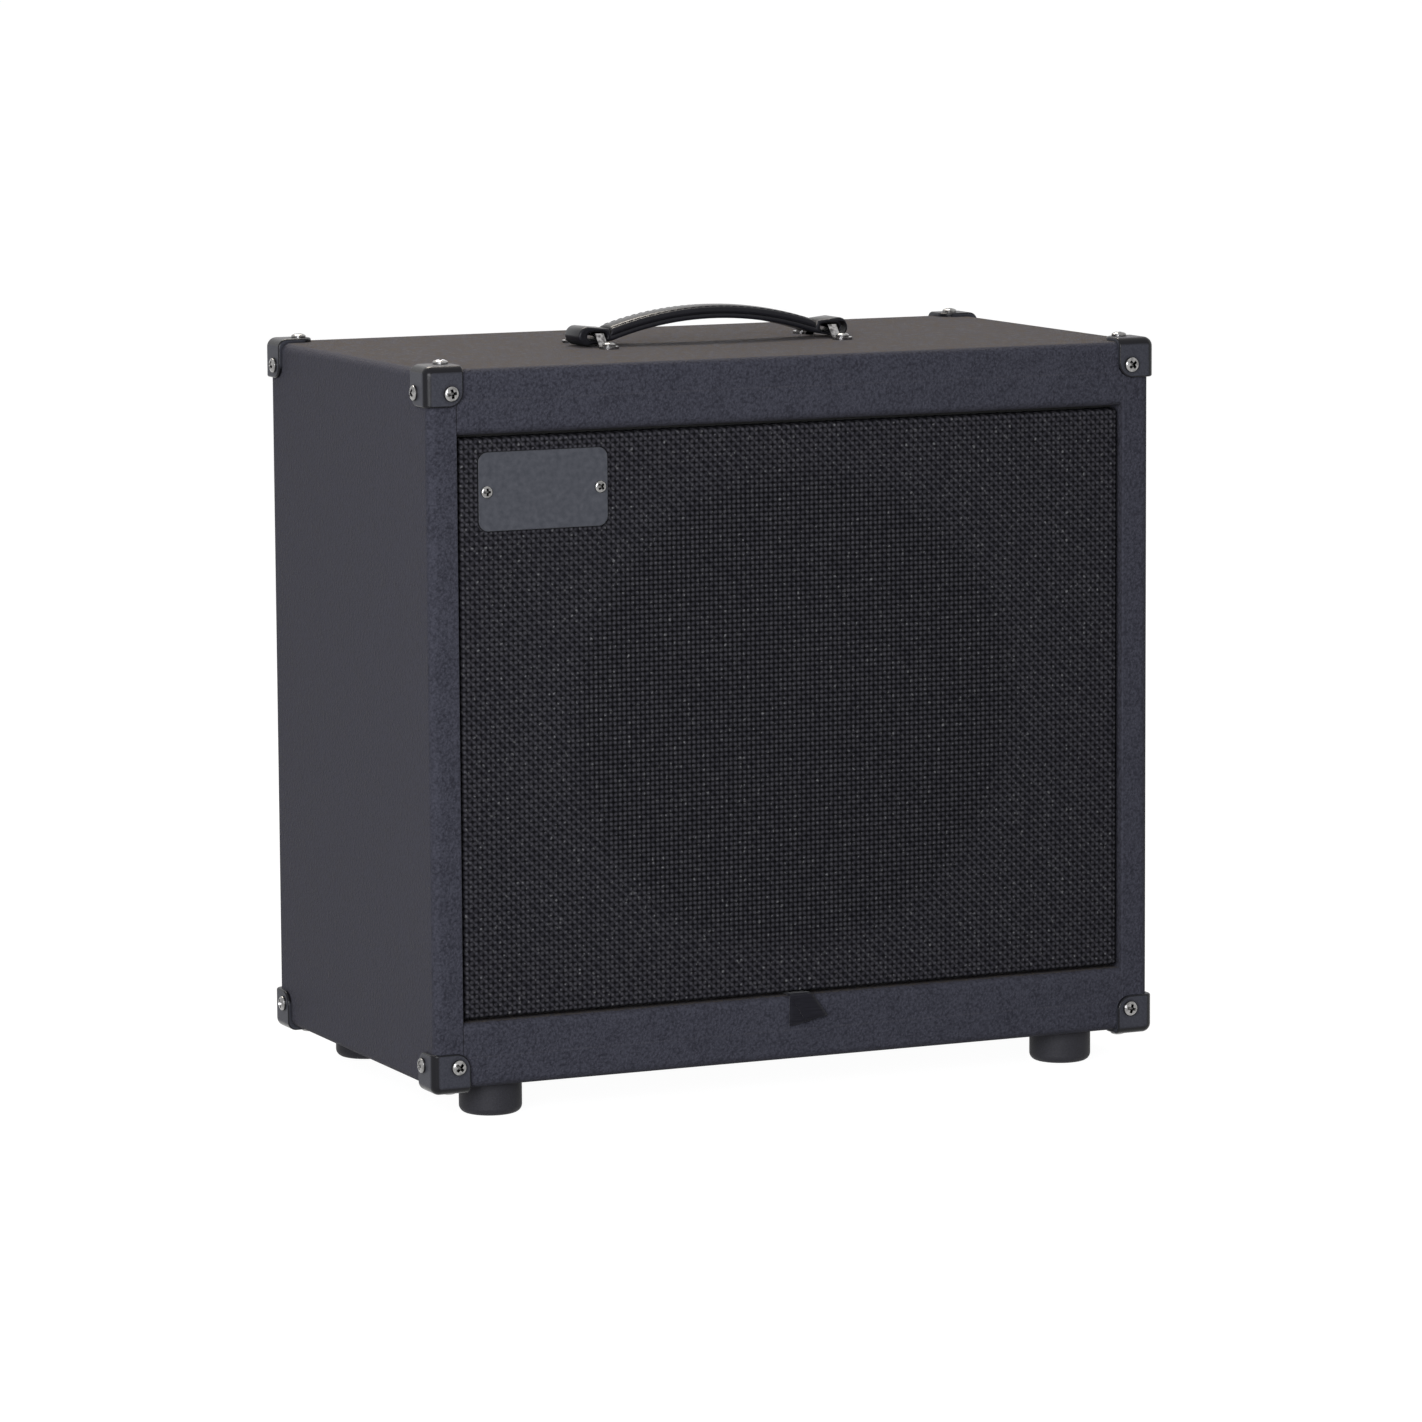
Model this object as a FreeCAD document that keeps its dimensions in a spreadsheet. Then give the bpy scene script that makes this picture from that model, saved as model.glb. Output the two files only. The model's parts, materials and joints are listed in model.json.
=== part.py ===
import FreeCAD
import Part
import Sketcher

import math
import os
from types import SimpleNamespace

from FreeCAD import Placement, Rotation, Vector

# Guitar speaker cabinet: one twelve-inch speaker in a covered box, with a pull-off cloth grille,
# a strap handle on top, corner protectors and rubber feet.
# Millimetres. The origin is the middle of the footprint on the floor, +Z is up and the front faces -Y.

SIZES = {
    # Covered box: four mitred panels, with room for the speaker and a margin round it
    "speaker_diameter": 309,
    "speaker_side_margin": 78,
    "speaker_end_margin": 54,
    "body_depth": 255,
    "panel_thickness": 18,
    "edge_radius": 5,
    # Front frame
    "rail_height": 38,
    "rail_edge_radius": 5,
    "side_edge_radius": 1,
    # Grille: a holed board wrapped in cloth, held by hook-and-loop strips
    "grille_recess": 2.5,
    "grille_gap": 2.2,
    "grille_board_thickness": 9,
    "grille_edge_radius": 1,
    "grille_hole_margin": 0.5,
    "cloth_thickness": 1,
    "cloth_hem_width": 16,
    "strip_thickness": 1.2,
    "strip_width": 25,
    "strip_length": 200,
    "strip_inset": 30,
    "strip_clearance": 0.1,
    # Badge plate
    "badge_width": 81,
    "badge_height": 46,
    "badge_thickness": 1.5,
    "badge_corner_radius": 6,
    "badge_rim_radius": 0.6,
    "badge_side_inset": 31,
    "badge_top_inset": 48,
    "badge_screw_inset": 5,
    "badge_screw_head": 7,
    "badge_screw_head_height": 2,
    "badge_screw_shank": 2.2,
    "badge_screw_length": 8,
    # Pull tab: a folded ribbon with two tails
    "ribbon_width": 14.4,
    "ribbon_thickness": 0.6,
    "tab_left_length": 17.3,
    "tab_left_lean": 0.3,
    "tab_left_end_slant": 1.3,
    "tab_right_length": 14.6,
    "tab_right_lean": 9.4,
    "tab_right_end_slant": 1.1,
    "tab_rail_clearance": 0.4,
    "tab_hinge_clearance": 0.15,
    "tab_anchor_height": 20,
    # Baffle and cleats
    "baffle_thickness": 18,
    "cleat_size": 18,
    # Back panel
    "back_recess": 6,
    "back_panel_thickness": 12,
    "back_panel_gap": 1,
    "back_screw_head": 8,
    "back_screw_head_height": 2.6,
    "back_screw_shank": 3.5,
    "back_screw_length": 26,
    # Jack dish and jacks
    "dish_width": 120,
    "dish_height": 76,
    "dish_wall": 1.5,
    "dish_well_width": 92,
    "dish_well_height": 48,
    "dish_well_depth": 18,
    "dish_corner_radius": 8,
    "dish_centre_height": 75,
    "dish_clearance": 0.5,
    "dish_screw_inset": 8,
    "dish_screw_head": 6,
    "dish_screw_head_height": 2,
    "dish_screw_shank": 3,
    "dish_screw_length": 10,
    "jack_spacing": 44,
    "jack_bore_diameter": 6.5,
    "jack_bore_depth": 32,
    "jack_bush_diameter": 9.4,
    "jack_bush_reach": 6,
    "jack_body_size": 18,
    "jack_body_length": 26,
    "jack_nut_across": 14.6,
    "jack_nut_thickness": 2.5,
    # Twelve-inch speaker, from its rim inwards and from its mounting face backwards
    "speaker_cutout_lap": 13.5,
    "speaker_bolt_inset": 6,
    "gasket_thickness": 3,
    "surround_rim_inset": 10.5,
    "surround_seat_width": 12,
    "surround_roll_width": 14,
    "surround_thickness": 0.8,
    "surround_wave": 2.6,
    "basket_wall": 1.5,
    "basket_depth": 76,
    "basket_seat_gap": 4.8,
    "basket_window_width": 54,
    "basket_window_gap": 4,
    "spider_can_diameter": 144,
    "spider_can_height": 20,
    "spider_shelf_width": 8,
    "spider_wave": 1.6,
    "cone_rim_depth": 6,
    "cone_thickness": 0.8,
    "cone_travel": 3.5,
    "dust_cap_diameter": 62,
    "dust_cap_rise": 12,
    "former_diameter": 44.4,
    "former_wall": 0.4,
    "coil_length": 12,
    "coil_wall": 1,
    "coil_gap": 0.5,
    "moving_clearance": 0.3,
    "top_plate_diameter": 124,
    "top_plate_thickness": 6.5,
    "magnet_diameter": 155,
    "magnet_bore": 64,
    "magnet_thickness": 20,
    "back_plate_thickness": 7,
    "terminal_width": 24,
    "terminal_height": 10,
    "terminal_length": 14,
    # Speaker bolts and tee nuts
    "bolt_diameter": 5,
    "bolt_head": 9,
    "bolt_head_height": 3.4,
    "tee_flange_diameter": 19,
    "tee_flange_thickness": 1.4,
    "tee_barrel_diameter": 7.6,
    "tee_barrel_length": 12,
    # Corner protectors
    "corner_flap": 21.3,
    "corner_wall": 2.5,
    "corner_edge_radius": 5.5,
    "corner_tongue_radius": 9,
    "corner_rim_radius": 1.2,
    "corner_screw_inset": 13.5,
    "corner_screw_head": 8.8,
    "corner_screw_head_height": 2.6,
    "corner_screw_shank": 3.4,
    "corner_screw_length": 12.5,
    # Rubber feet
    "foot_diameter": 37,
    "foot_height": 20,
    "foot_edge_radius": 4.5,
    "foot_side_inset": 45.5,
    "foot_end_inset": 28,
    "foot_recess_diameter": 16,
    "foot_recess_depth": 12,
    "washer_diameter": 15,
    "washer_thickness": 1.5,
    "foot_screw_head": 9,
    "foot_screw_head_height": 3,
    "foot_screw_shank": 4.2,
    "foot_screw_length": 22,
    # Strap handle
    "handle_width": 22,
    "handle_strap_thickness": 3,
    "handle_grip_thickness": 5,
    "handle_grip_side": 2.6,
    "handle_grip_length": 132.6,
    "handle_arch_radius": 207,
    "handle_clear_height": 14.3,
    "handle_neck_height": 4.5,
    "handle_loop_spacing": 165.4,
    "handle_loop_radius": 5.8,
    "handle_eye_spacing": 153,
    "handle_eye_width": 12.6,
    "handle_eye_height": 5,
    "handle_rest_gap": 0.4,
    "handle_eye_clearance": 0.55,
    # Handle brackets
    "bracket_width": 5.5,
    "bracket_thickness": 1.6,
    "bracket_foot_spacing": 56,
    "bracket_foot_diameter": 12,
    "bracket_arm_gap": 2.5,
    "bracket_arm_run": 6,
    "handle_screw_head": 8,
    "handle_screw_head_height": 2.4,
    "handle_screw_shank": 4,
    "handle_screw_length": 14,
    # Fits shared by all the pieces
    "screw_clearance": 0.05,
    "overrun": 5,
}

# Shares of the size that each one follows
SCREW_RIM_SHARE = 0.45
SCREW_CROWN_SHARE = 0.6
WAVE_SHARES = (0, 1, 0, -1)
MIDDLE_SHARE = 0.5

BASKET_WINDOWS = 6
SPEAKER_BOLTS = 4
SPIDER_WAVES = 5
SURROUND_WAVES = 2
NUT_SIDES = 6
NEAR_TOLERANCE = 0.01
FULL_TURN = 360
QUARTER_TURN = 90


class Measure:
    """A size that carries its value and the sheet formula that gives it."""

    def __init__(self, value, text):
        self.value = value
        self.text = text

    def __add__(self, other):
        other = as_measure(other)
        return Measure(self.value + other.value, f"({self.text} + {other.text})")

    def __sub__(self, other):
        other = as_measure(other)
        return Measure(self.value - other.value, f"({self.text} - {other.text})")

    def __mul__(self, other):
        other = as_measure(other)
        return Measure(self.value * other.value, f"({self.text} * {other.text})")

    def __truediv__(self, other):
        other = as_measure(other)
        return Measure(self.value / other.value, f"({self.text} / {other.text})")

    def __neg__(self):
        return Measure(-self.value, f"(-1 * {self.text})")

    __radd__ = __add__
    __rmul__ = __mul__


def as_measure(size):
    if isinstance(size, Measure):
        return size
    return Measure(size, f"{size:.6f}")


def square_root(size):
    return Measure(math.sqrt(size.value), f"sqrt({size.text})")


NONE = Measure(0, "0")

doc = FreeCAD.newDocument("speaker_cabinet")
sheet = doc.addObject("Spreadsheet::Sheet", "dims")
for row, (alias, number) in enumerate(SIZES.items(), start=1):
    sheet.set(f"A{row}", alias)
    sheet.set(f"B{row}", str(number))
    sheet.setAlias(f"B{row}", alias)
doc.recompute()

size = SimpleNamespace(**{alias: Measure(float(sheet.get(alias)), f"dims.{alias}") for alias in SIZES})
nodes = {}


# Helpers: binding, primitives, booleans

def bind(item, **sizes):
    """Tie each named property of an object to a formula of the sheet."""
    for name, measure in sizes.items():
        item.setExpression(name, as_measure(measure).text)


def place(item, x, y, z):
    for axis, measure in zip("xyz", (x, y, z)):
        item.setExpression(f"Placement.Base.{axis}", as_measure(measure).text)


def node(item, label):
    """Keep an object as the sub-part of that name."""
    item.Label = label
    nodes[label] = item
    return item


def block(name, x, y, z):
    """A box between two measures on each axis."""
    item = doc.addObject("Part::Box", name)
    bind(item, Length=x[1] - x[0], Width=y[1] - y[0], Height=z[1] - z[0])
    place(item, x[0], y[0], z[0])
    return item


AXIS_TURNS = {
    "x": Rotation(Vector(0, 1, 0), QUARTER_TURN),
    "y": Rotation(Vector(1, 0, 0), -QUARTER_TURN),
    "z": Rotation(),
}


def cylinder(name, axis, diameter, length, x, y, z):
    """A cylinder that starts at a point and runs along an axis."""
    item = doc.addObject("Part::Cylinder", name)
    bind(item, Radius=diameter / 2, Height=length)
    item.Placement = Placement(Vector(), AXIS_TURNS[axis])
    place(item, x, y, z)
    return item


def group(name, items):
    item = doc.addObject("Part::Compound", name)
    item.Links = items
    return item


def fused(name, items):
    item = doc.addObject("Part::MultiFuse", name)
    item.Shapes = items
    return item


def cut(name, base, tool):
    item = doc.addObject("Part::Cut", name)
    item.Base = base
    item.Tool = tool
    return item


def common(name, base, tool):
    item = doc.addObject("Part::Common", name)
    item.Base = base
    item.Tool = tool
    return item


def mirrored(name, source, normal, base_z=NONE):
    item = doc.addObject("Part::Mirroring", name)
    item.Source = source
    item.Normal = normal
    item.setExpression("Base.z", base_z.text)
    return item


# Helpers: bodies with sketches

def new_sketch(body, plane):
    sketch = body.newObject("Sketcher::SketchObject", f"{body.Name}_sketch")
    support = next(item for item in body.Origin.OriginFeatures if item.Role == plane)
    sketch.AttachmentSupport = [(support, "")]
    sketch.MapMode = "FlatFace"
    return sketch


def segment(start, end, radius):
    """A line, or an arc whose centre lies left of the way from start to end when the radius is positive."""
    first = Vector(start[0].value, start[1].value, 0)
    last = Vector(end[0].value, end[1].value, 0)
    if radius is None:
        return Part.LineSegment(first, last), 1, 2
    reach = abs(radius.value)
    side = math.copysign(1, radius.value)
    along = last - first
    half = along.Length / 2
    across = Vector(-along.y, along.x, 0).normalize()
    centre = (first + last) * MIDDLE_SHARE + across * (side * math.sqrt(max(reach ** 2 - half ** 2, 0)))
    circle = Part.Circle(centre, Vector(0, 0, 1), reach)
    if side > 0:
        return Part.ArcOfCircle(circle, circle.parameter(first), circle.parameter(last)), 1, 2
    return Part.ArcOfCircle(circle, circle.parameter(last), circle.parameter(first)), 2, 1


def pin(sketch, geometry, end, measure, kind, axis, name):
    """Hold one coordinate of a point of a sketch at a formula."""
    if measure.text == NONE.text:
        sketch.addConstraint(Sketcher.Constraint("PointOnObject", geometry, end, axis))
        return
    if measure.value >= 0:
        constraint = Sketcher.Constraint(kind, -1, 1, geometry, end, measure.value)
    else:
        constraint = Sketcher.Constraint(kind, geometry, end, -1, 1, -measure.value)
        measure = -measure
    index = sketch.addConstraint(constraint)
    sketch.renameConstraint(index, name)
    sketch.setExpression(f"Constraints.{name}", measure.text)


def draw(sketch, corners):
    """Draw a closed outline. A corner is (u, v), or (u, v, radius) where an arc leads to it."""
    points = [tuple(as_measure(value) for value in corner[:2]) for corner in corners]
    radii = [as_measure(corner[2]) if len(corner) > 2 else None for corner in corners]
    drawn = []
    for index, end in enumerate(points):
        shape, first, last = segment(points[index - 1], end, radii[index])
        geometry = sketch.addGeometry(shape)
        drawn.append((geometry, first, last))
    for index, (geometry, first, last) in enumerate(drawn):
        following, start, _ = drawn[(index + 1) % len(drawn)]
        sketch.addConstraint(Sketcher.Constraint("Coincident", geometry, last, following, start))
        name = f"corner_{sketch.ConstraintCount}"
        pin(sketch, geometry, last, points[index][0], "DistanceX", -2, f"{name}_u")
        pin(sketch, geometry, last, points[index][1], "DistanceY", -1, f"{name}_v")
        if radii[index] is not None:
            reach = radii[index] if radii[index].value > 0 else -radii[index]
            bound = sketch.addConstraint(Sketcher.Constraint("Radius", geometry, reach.value))
            sketch.renameConstraint(bound, f"{name}_radius")
            sketch.setExpression(f"Constraints.{name}_radius", reach.text)


def padded(name, plane, corners, length):
    """A body that is an outline on one of its planes, padded to both sides of it."""
    body = doc.addObject("PartDesign::Body", name)
    sketch = new_sketch(body, plane)
    draw(sketch, corners)
    pad = body.newObject("PartDesign::Pad", f"{name}_pad")
    pad.Profile = sketch
    pad.SideType = "Symmetric"
    bind(pad, Length=length)
    return body


def turned(name, corners):
    """A body that is an outline of radii and heights, turned about its own Z axis."""
    body = doc.addObject("PartDesign::Body", name)
    sketch = new_sketch(body, "XZ_Plane")
    draw(sketch, corners)
    turn = body.newObject("PartDesign::Revolution", f"{name}_turn")
    turn.Profile = sketch
    turn.ReferenceAxis = (sketch, ["V_Axis"])
    turn.Angle = FULL_TURN
    return body


def rounded_block(name, x, y, z, radius, chosen=None):
    """A block with its edges rounded: all of them, or those whose middle is chosen."""
    body = doc.addObject("PartDesign::Body", name)
    base = body.newObject("PartDesign::AdditiveBox", f"{name}_box")
    bind(base, Length=x[1] - x[0], Width=y[1] - y[0], Height=z[1] - z[0])
    place(body, x[0], y[0], z[0])
    round_edges(body, radius, chosen)
    return body


def round_edges(body, radius, chosen=None):
    """Round the edges of a body's last feature whose middle, in the part's frame, is chosen."""
    doc.recompute()
    base = body.Tip
    names = []
    for index, edge in enumerate(base.Shape.Edges, start=1):
        middle = body.Placement.multVec(edge.CenterOfMass)
        if chosen is None or chosen(middle):
            names.append(f"Edge{index}")
    fillet = body.newObject("PartDesign::Fillet", f"{body.Name}_round_{len(body.Group)}")
    fillet.Base = (base, names)
    bind(fillet, Radius=radius)
    doc.recompute()


def near(first, second):
    return abs(first - second.value) < NEAR_TOLERANCE


# Helpers: screws and their holes, as groups of separate solids

def screw_shape(head, head_height, shank, length):
    """A pan-head screw that points along -Z, with the underside of its head at zero."""
    rim_height = head_height.value * SCREW_RIM_SHARE
    crown_height = head_height.value - rim_height
    head_radius = head.value / 2
    crown_radius = head_radius * SCREW_CROWN_SHARE
    crown = Part.makeCone(head_radius, crown_radius, crown_height, Vector(0, 0, rim_height))
    rim = Part.makeCylinder(head_radius, rim_height)
    stem = Part.makeCylinder(shank.value / 2, length.value, Vector(0, 0, -length.value))
    return stem.multiFuse([rim, crown])


def hole_shape(shank, length):
    """The hole for such a screw, open past the underside of its head."""
    clearance = size.screw_clearance.value
    depth = length.value + clearance
    return Part.makeCylinder(shank.value / 2 + clearance, depth + size.overrun.value, Vector(0, 0, -depth))


def copies(name, shape, places):
    """Separate copies of a shape along -Z, each set at a point and turned to face an outward direction."""
    item = doc.addObject("Part::Feature", name)
    solids = []
    for point, outward in places:
        copy = shape.copy()
        copy.Placement = Placement(point, Rotation(Vector(0, 0, 1), outward))
        solids.append(copy)
    item.Shape = Part.makeCompound(solids)
    return item


# Places that several pieces share

half_width = size.speaker_diameter / 2 + size.speaker_side_margin
half_depth = size.body_depth / 2
half_height = size.speaker_diameter / 2 + size.speaker_end_margin
body_bottom = size.foot_height
body_middle = body_bottom + half_height
body_top = body_middle + half_height
inner_half_width = half_width - size.panel_thickness
inner_bottom = body_bottom + size.panel_thickness
inner_top = body_top - size.panel_thickness
opening_bottom = body_bottom + size.rail_height
opening_top = body_top - size.rail_height

cloth_front = size.grille_recess - half_depth
board_front = cloth_front + size.cloth_thickness
board_back = board_front + size.grille_board_thickness
baffle_front = board_back + 2 * size.strip_thickness + size.strip_clearance
baffle_back = baffle_front + size.baffle_thickness
back_panel_rear = half_depth - size.back_recess
back_panel_front = back_panel_rear - size.back_panel_thickness

flange_radius = size.speaker_diameter / 2
cutout_radius = flange_radius - size.speaker_cutout_lap
bolt_circle = size.speaker_diameter - 2 * size.speaker_bolt_inset

SIDES = (-1, 1)
LEFT_RIGHT = {-1: "left", 1: "right"}
FRONT_REAR = {-1: "front", 1: "rear"}
BOTTOM_TOP = {-1: "bottom", 1: "top"}


# Screws of the corner protectors

def corner_screw_places():
    inset = size.corner_screw_inset.value
    wall = size.corner_wall.value
    reach = Vector(half_width.value, half_depth.value, half_height.value)
    middle = Vector(0, 0, body_middle.value)
    for side_x in SIDES:
        for side_y in SIDES:
            for side_z in SIDES:
                signs = Vector(side_x, side_y, side_z)
                for axis in range(3):
                    point = Vector()
                    outward = Vector()
                    for other in range(3):
                        step = wall if other == axis else -inset
                        point[other] = signs[other] * (reach[other] + step)
                    outward[axis] = signs[axis]
                    yield point + middle, outward


corner_places = list(corner_screw_places())
corner_screw = screw_shape(size.corner_screw_head, size.corner_screw_head_height,
                           size.corner_screw_shank, size.corner_screw_length)
node(copies("corner_screws", corner_screw, corner_places), "corner_screws")
corner_hole = hole_shape(size.corner_screw_shank, size.corner_screw_length)
corner_holes = copies("corner_screw_holes", corner_hole, corner_places)


# Rubber feet with their washers and screws

foot_half_x = half_width - size.foot_side_inset
foot_half_y = half_depth - size.foot_end_inset
foot_bore = size.foot_screw_shank / 2 + size.screw_clearance
for side_y in SIDES:
    for side_x in SIDES:
        label = f"foot_{FRONT_REAR[side_y]}_{LEFT_RIGHT[side_x]}"
        foot = turned(label, [
            (foot_bore, size.foot_recess_depth),
            (size.foot_recess_diameter / 2, size.foot_recess_depth),
            (size.foot_recess_diameter / 2, NONE),
            (size.foot_diameter / 2 - size.foot_edge_radius, NONE),
            (size.foot_diameter / 2, size.foot_edge_radius, size.foot_edge_radius),
            (size.foot_diameter / 2, size.foot_height),
            (foot_bore, size.foot_height),
        ])
        place(foot, foot_half_x * side_x, foot_half_y * side_y, NONE)
        node(foot, label)

washer_bottom = size.foot_recess_depth - size.washer_thickness
foot_screw_places = [
    (Vector(foot_half_x.value * side_x, foot_half_y.value * side_y, washer_bottom.value), Vector(0, 0, -1))
    for side_x in SIDES for side_y in SIDES
]
washer_disc = Part.makeCylinder(size.washer_diameter.value / 2, size.washer_thickness.value,
                                Vector(0, 0, -size.washer_thickness.value))
foot_hole = hole_shape(size.foot_screw_shank, size.foot_screw_length)
node(copies("foot_washers", washer_disc.cut(foot_hole), foot_screw_places), "foot_washers")
foot_screw = screw_shape(size.foot_screw_head, size.foot_screw_head_height,
                         size.foot_screw_shank, size.foot_screw_length)
node(copies("foot_screws", foot_screw, foot_screw_places), "foot_screws")
foot_holes = copies("foot_screw_holes", foot_hole, foot_screw_places)


# Handle brackets: a bent strip that crosses the strap's eye, with a round foot at each end

bracket_half_x = size.handle_eye_spacing / 2
loop_height = body_top + size.handle_rest_gap + size.handle_loop_radius
bar_top = loop_height + size.handle_eye_height / 2 - size.handle_eye_clearance
bar_bottom = bar_top - size.bracket_thickness
bar_half = size.handle_width / 2 + size.bracket_arm_gap
arm_foot = bar_half + size.bracket_arm_run
foot_y = size.bracket_foot_spacing / 2
strip_top = body_top + size.bracket_thickness


def both_ends(points):
    """An outline's right half, followed by its mirror image."""
    return points + [(-corner[0], *corner[1:]) for corner in reversed(points)]


handle_screw_places = [
    (Vector(bracket_half_x.value * side_x, foot_y.value * side_y, strip_top.value), Vector(0, 0, 1))
    for side_x in SIDES for side_y in SIDES
]
handle_screw = screw_shape(size.handle_screw_head, size.handle_screw_head_height,
                           size.handle_screw_shank, size.handle_screw_length)
node(copies("handle_screws", handle_screw, handle_screw_places), "handle_screws")
handle_hole = hole_shape(size.handle_screw_shank, size.handle_screw_length)
handle_holes = copies("handle_screw_holes", handle_hole, handle_screw_places)

for side_x in SIDES:
    label = f"handle_bracket_{LEFT_RIGHT[side_x]}"
    under = [
        (bar_half - size.bracket_thickness / 2, bar_bottom),
        (arm_foot - size.bracket_thickness / 2, body_top),
        (foot_y, body_top),
    ]
    over = [(foot_y, strip_top), (arm_foot, strip_top), (bar_half, bar_top)]
    strip = padded(f"{label}_strip", "YZ_Plane", both_ends(under + over), size.bracket_width)
    place(strip, bracket_half_x * side_x, NONE, NONE)
    ends = [
        cylinder(f"{label}_end_{FRONT_REAR[side_y]}", "z", size.bracket_foot_diameter,
                 size.bracket_thickness, bracket_half_x * side_x, foot_y * side_y, body_top)
        for side_y in SIDES
    ]
    node(cut(label, fused(f"{label}_blank", [strip] + ends), handle_holes), label)


# Covered box: each panel is a mitred board cut from one rounded block

hull = rounded_block("hull", (-half_width, half_width), (-half_depth, half_depth), (body_bottom, body_top),
                     size.edge_radius)
panel_holes = group("panel_holes", [corner_holes, foot_holes, handle_holes])
for side_z in SIDES:
    label = f"{BOTTOM_TOP[side_z]}_panel"
    outer_z = body_top if side_z > 0 else body_bottom
    inner_z = inner_top if side_z > 0 else inner_bottom
    board = padded(f"{label}_board", "XZ_Plane", [
        (-half_width, outer_z),
        (half_width, outer_z),
        (inner_half_width, inner_z),
        (-inner_half_width, inner_z),
    ], size.body_depth)
    node(cut(label, common(f"{label}_blank", hull, board), panel_holes), label)

for side_x in SIDES:
    label = f"{LEFT_RIGHT[side_x]}_side_panel"
    outer_x = half_width * side_x
    inner_x = inner_half_width * side_x
    board = padded(f"{label}_board", "XZ_Plane", [
        (outer_x, body_bottom), (outer_x, body_top), (inner_x, inner_top), (inner_x, inner_bottom),
    ], size.body_depth)
    round_edges(board, size.side_edge_radius,
                lambda middle: near(middle.x, inner_x) and near(middle.y, -half_depth))
    node(cut(label, common(f"{label}_blank", hull, board), panel_holes), label)


# Front rails, with the opening's edge rounded

for side_z in SIDES:
    label = f"front_{BOTTOM_TOP[side_z]}_rail"
    span = (opening_top, inner_top) if side_z > 0 else (inner_bottom, opening_bottom)
    edge_z = opening_top if side_z > 0 else opening_bottom
    rail = rounded_block(label, (-inner_half_width, inner_half_width), (-half_depth, baffle_front), span,
                         size.rail_edge_radius,
                         lambda middle: near(middle.y, -half_depth) and near(middle.z, edge_z))
    node(rail, label)


# Baffle board and the cleats behind it

def on_circle(diameter, count, depth):
    """Points on a circle about the speaker's axis, set half a step round from the top."""
    for index in range(count):
        angle = math.radians(FULL_TURN * (index + MIDDLE_SHARE) / count)
        radius = diameter.value / 2
        yield Vector(radius * math.sin(angle), depth.value, body_middle.value + radius * math.cos(angle))


forward = Vector(0, -1, 0)
backward = Vector(0, 1, 0)
tee_points = [
    (point, forward) for point in on_circle(bolt_circle, SPEAKER_BOLTS, baffle_front)
]
tee_bore = size.tee_barrel_diameter.value / 2 + size.screw_clearance.value
baffle_bore_length = size.baffle_thickness + 2 * size.overrun
bolt_bore = Part.makeCylinder(tee_bore, baffle_bore_length.value,
                              Vector(0, 0, size.overrun.value - baffle_bore_length.value))
baffle_holes = copies("baffle_bolt_holes", bolt_bore, tee_points)
speaker_hole = cylinder("baffle_speaker_hole", "y", 2 * cutout_radius, baffle_bore_length,
                        NONE, baffle_front - size.overrun, body_middle)
baffle_blank = block("baffle_blank", (-inner_half_width, inner_half_width), (baffle_front, baffle_back),
                     (inner_bottom, inner_top))
node(cut("baffle_board", baffle_blank, group("baffle_cuts", [baffle_holes, speaker_hole])), "baffle_board")

cleat_strips = [
    block(f"baffle_cleat_{LEFT_RIGHT[side_x]}",
          (inner_half_width - size.cleat_size, inner_half_width) if side_x > 0
          else (-inner_half_width, size.cleat_size - inner_half_width),
          (baffle_back, baffle_back + size.cleat_size), (inner_bottom, inner_top))
    for side_x in SIDES
]
node(group("baffle_cleats", cleat_strips), "baffle_cleats")


# Back panel, its cleats and screws

back_cleat_span = (back_panel_front - size.cleat_size, back_panel_front)
cleat_inner_x = inner_half_width - size.cleat_size
back_half_width = inner_half_width - size.back_panel_gap
back_bottom = inner_bottom + size.back_panel_gap
back_top = inner_top - size.back_panel_gap
screw_line_x = inner_half_width - size.cleat_size / 2
screw_line_z = half_height - size.panel_thickness - size.cleat_size / 2
SCREW_LINES = (-1, 0, 1)
back_screw_places = [
    (Vector(screw_line_x.value * column, back_panel_rear.value, body_middle.value + screw_line_z.value * row),
     backward)
    for column in SCREW_LINES for row in SCREW_LINES if column or row
]
back_hole = hole_shape(size.back_screw_shank, size.back_screw_length)
back_holes = copies("back_screw_holes", back_hole, back_screw_places)
back_cleats = [
    block("back_cleat_top", (-inner_half_width, inner_half_width), back_cleat_span,
          (inner_top - size.cleat_size, inner_top)),
    block("back_cleat_bottom", (-inner_half_width, inner_half_width), back_cleat_span,
          (inner_bottom, inner_bottom + size.cleat_size)),
    block("back_cleat_left", (-inner_half_width, -cleat_inner_x), back_cleat_span,
          (inner_bottom + size.cleat_size, inner_top - size.cleat_size)),
    block("back_cleat_right", (cleat_inner_x, inner_half_width), back_cleat_span,
          (inner_bottom + size.cleat_size, inner_top - size.cleat_size)),
]
drilled_cleats = [cut(f"{strip.Name}_drilled", strip, back_holes) for strip in back_cleats]
node(group("back_cleats", drilled_cleats), "back_cleats")
back_screw = screw_shape(size.back_screw_head, size.back_screw_head_height,
                         size.back_screw_shank, size.back_screw_length)
node(copies("back_panel_screws", back_screw, back_screw_places), "back_panel_screws")


# Jack dish: a flange round a well, with two jacks in its floor

dish_z = body_bottom + size.dish_centre_height
dish_rear = back_panel_rear + size.dish_wall
well_floor = dish_rear - size.dish_well_depth
well_back = well_floor - size.dish_wall
well_half_x = size.dish_well_width / 2
well_half_z = size.dish_well_height / 2


def about(middle, half):
    return (middle - half, middle + half)


def along_depth(middle):
    """Choose edges that run front to back: their middle lies neither on the front nor on the rear face."""
    return not (near(middle.y, back_panel_rear) or near(middle.y, dish_rear))


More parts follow.
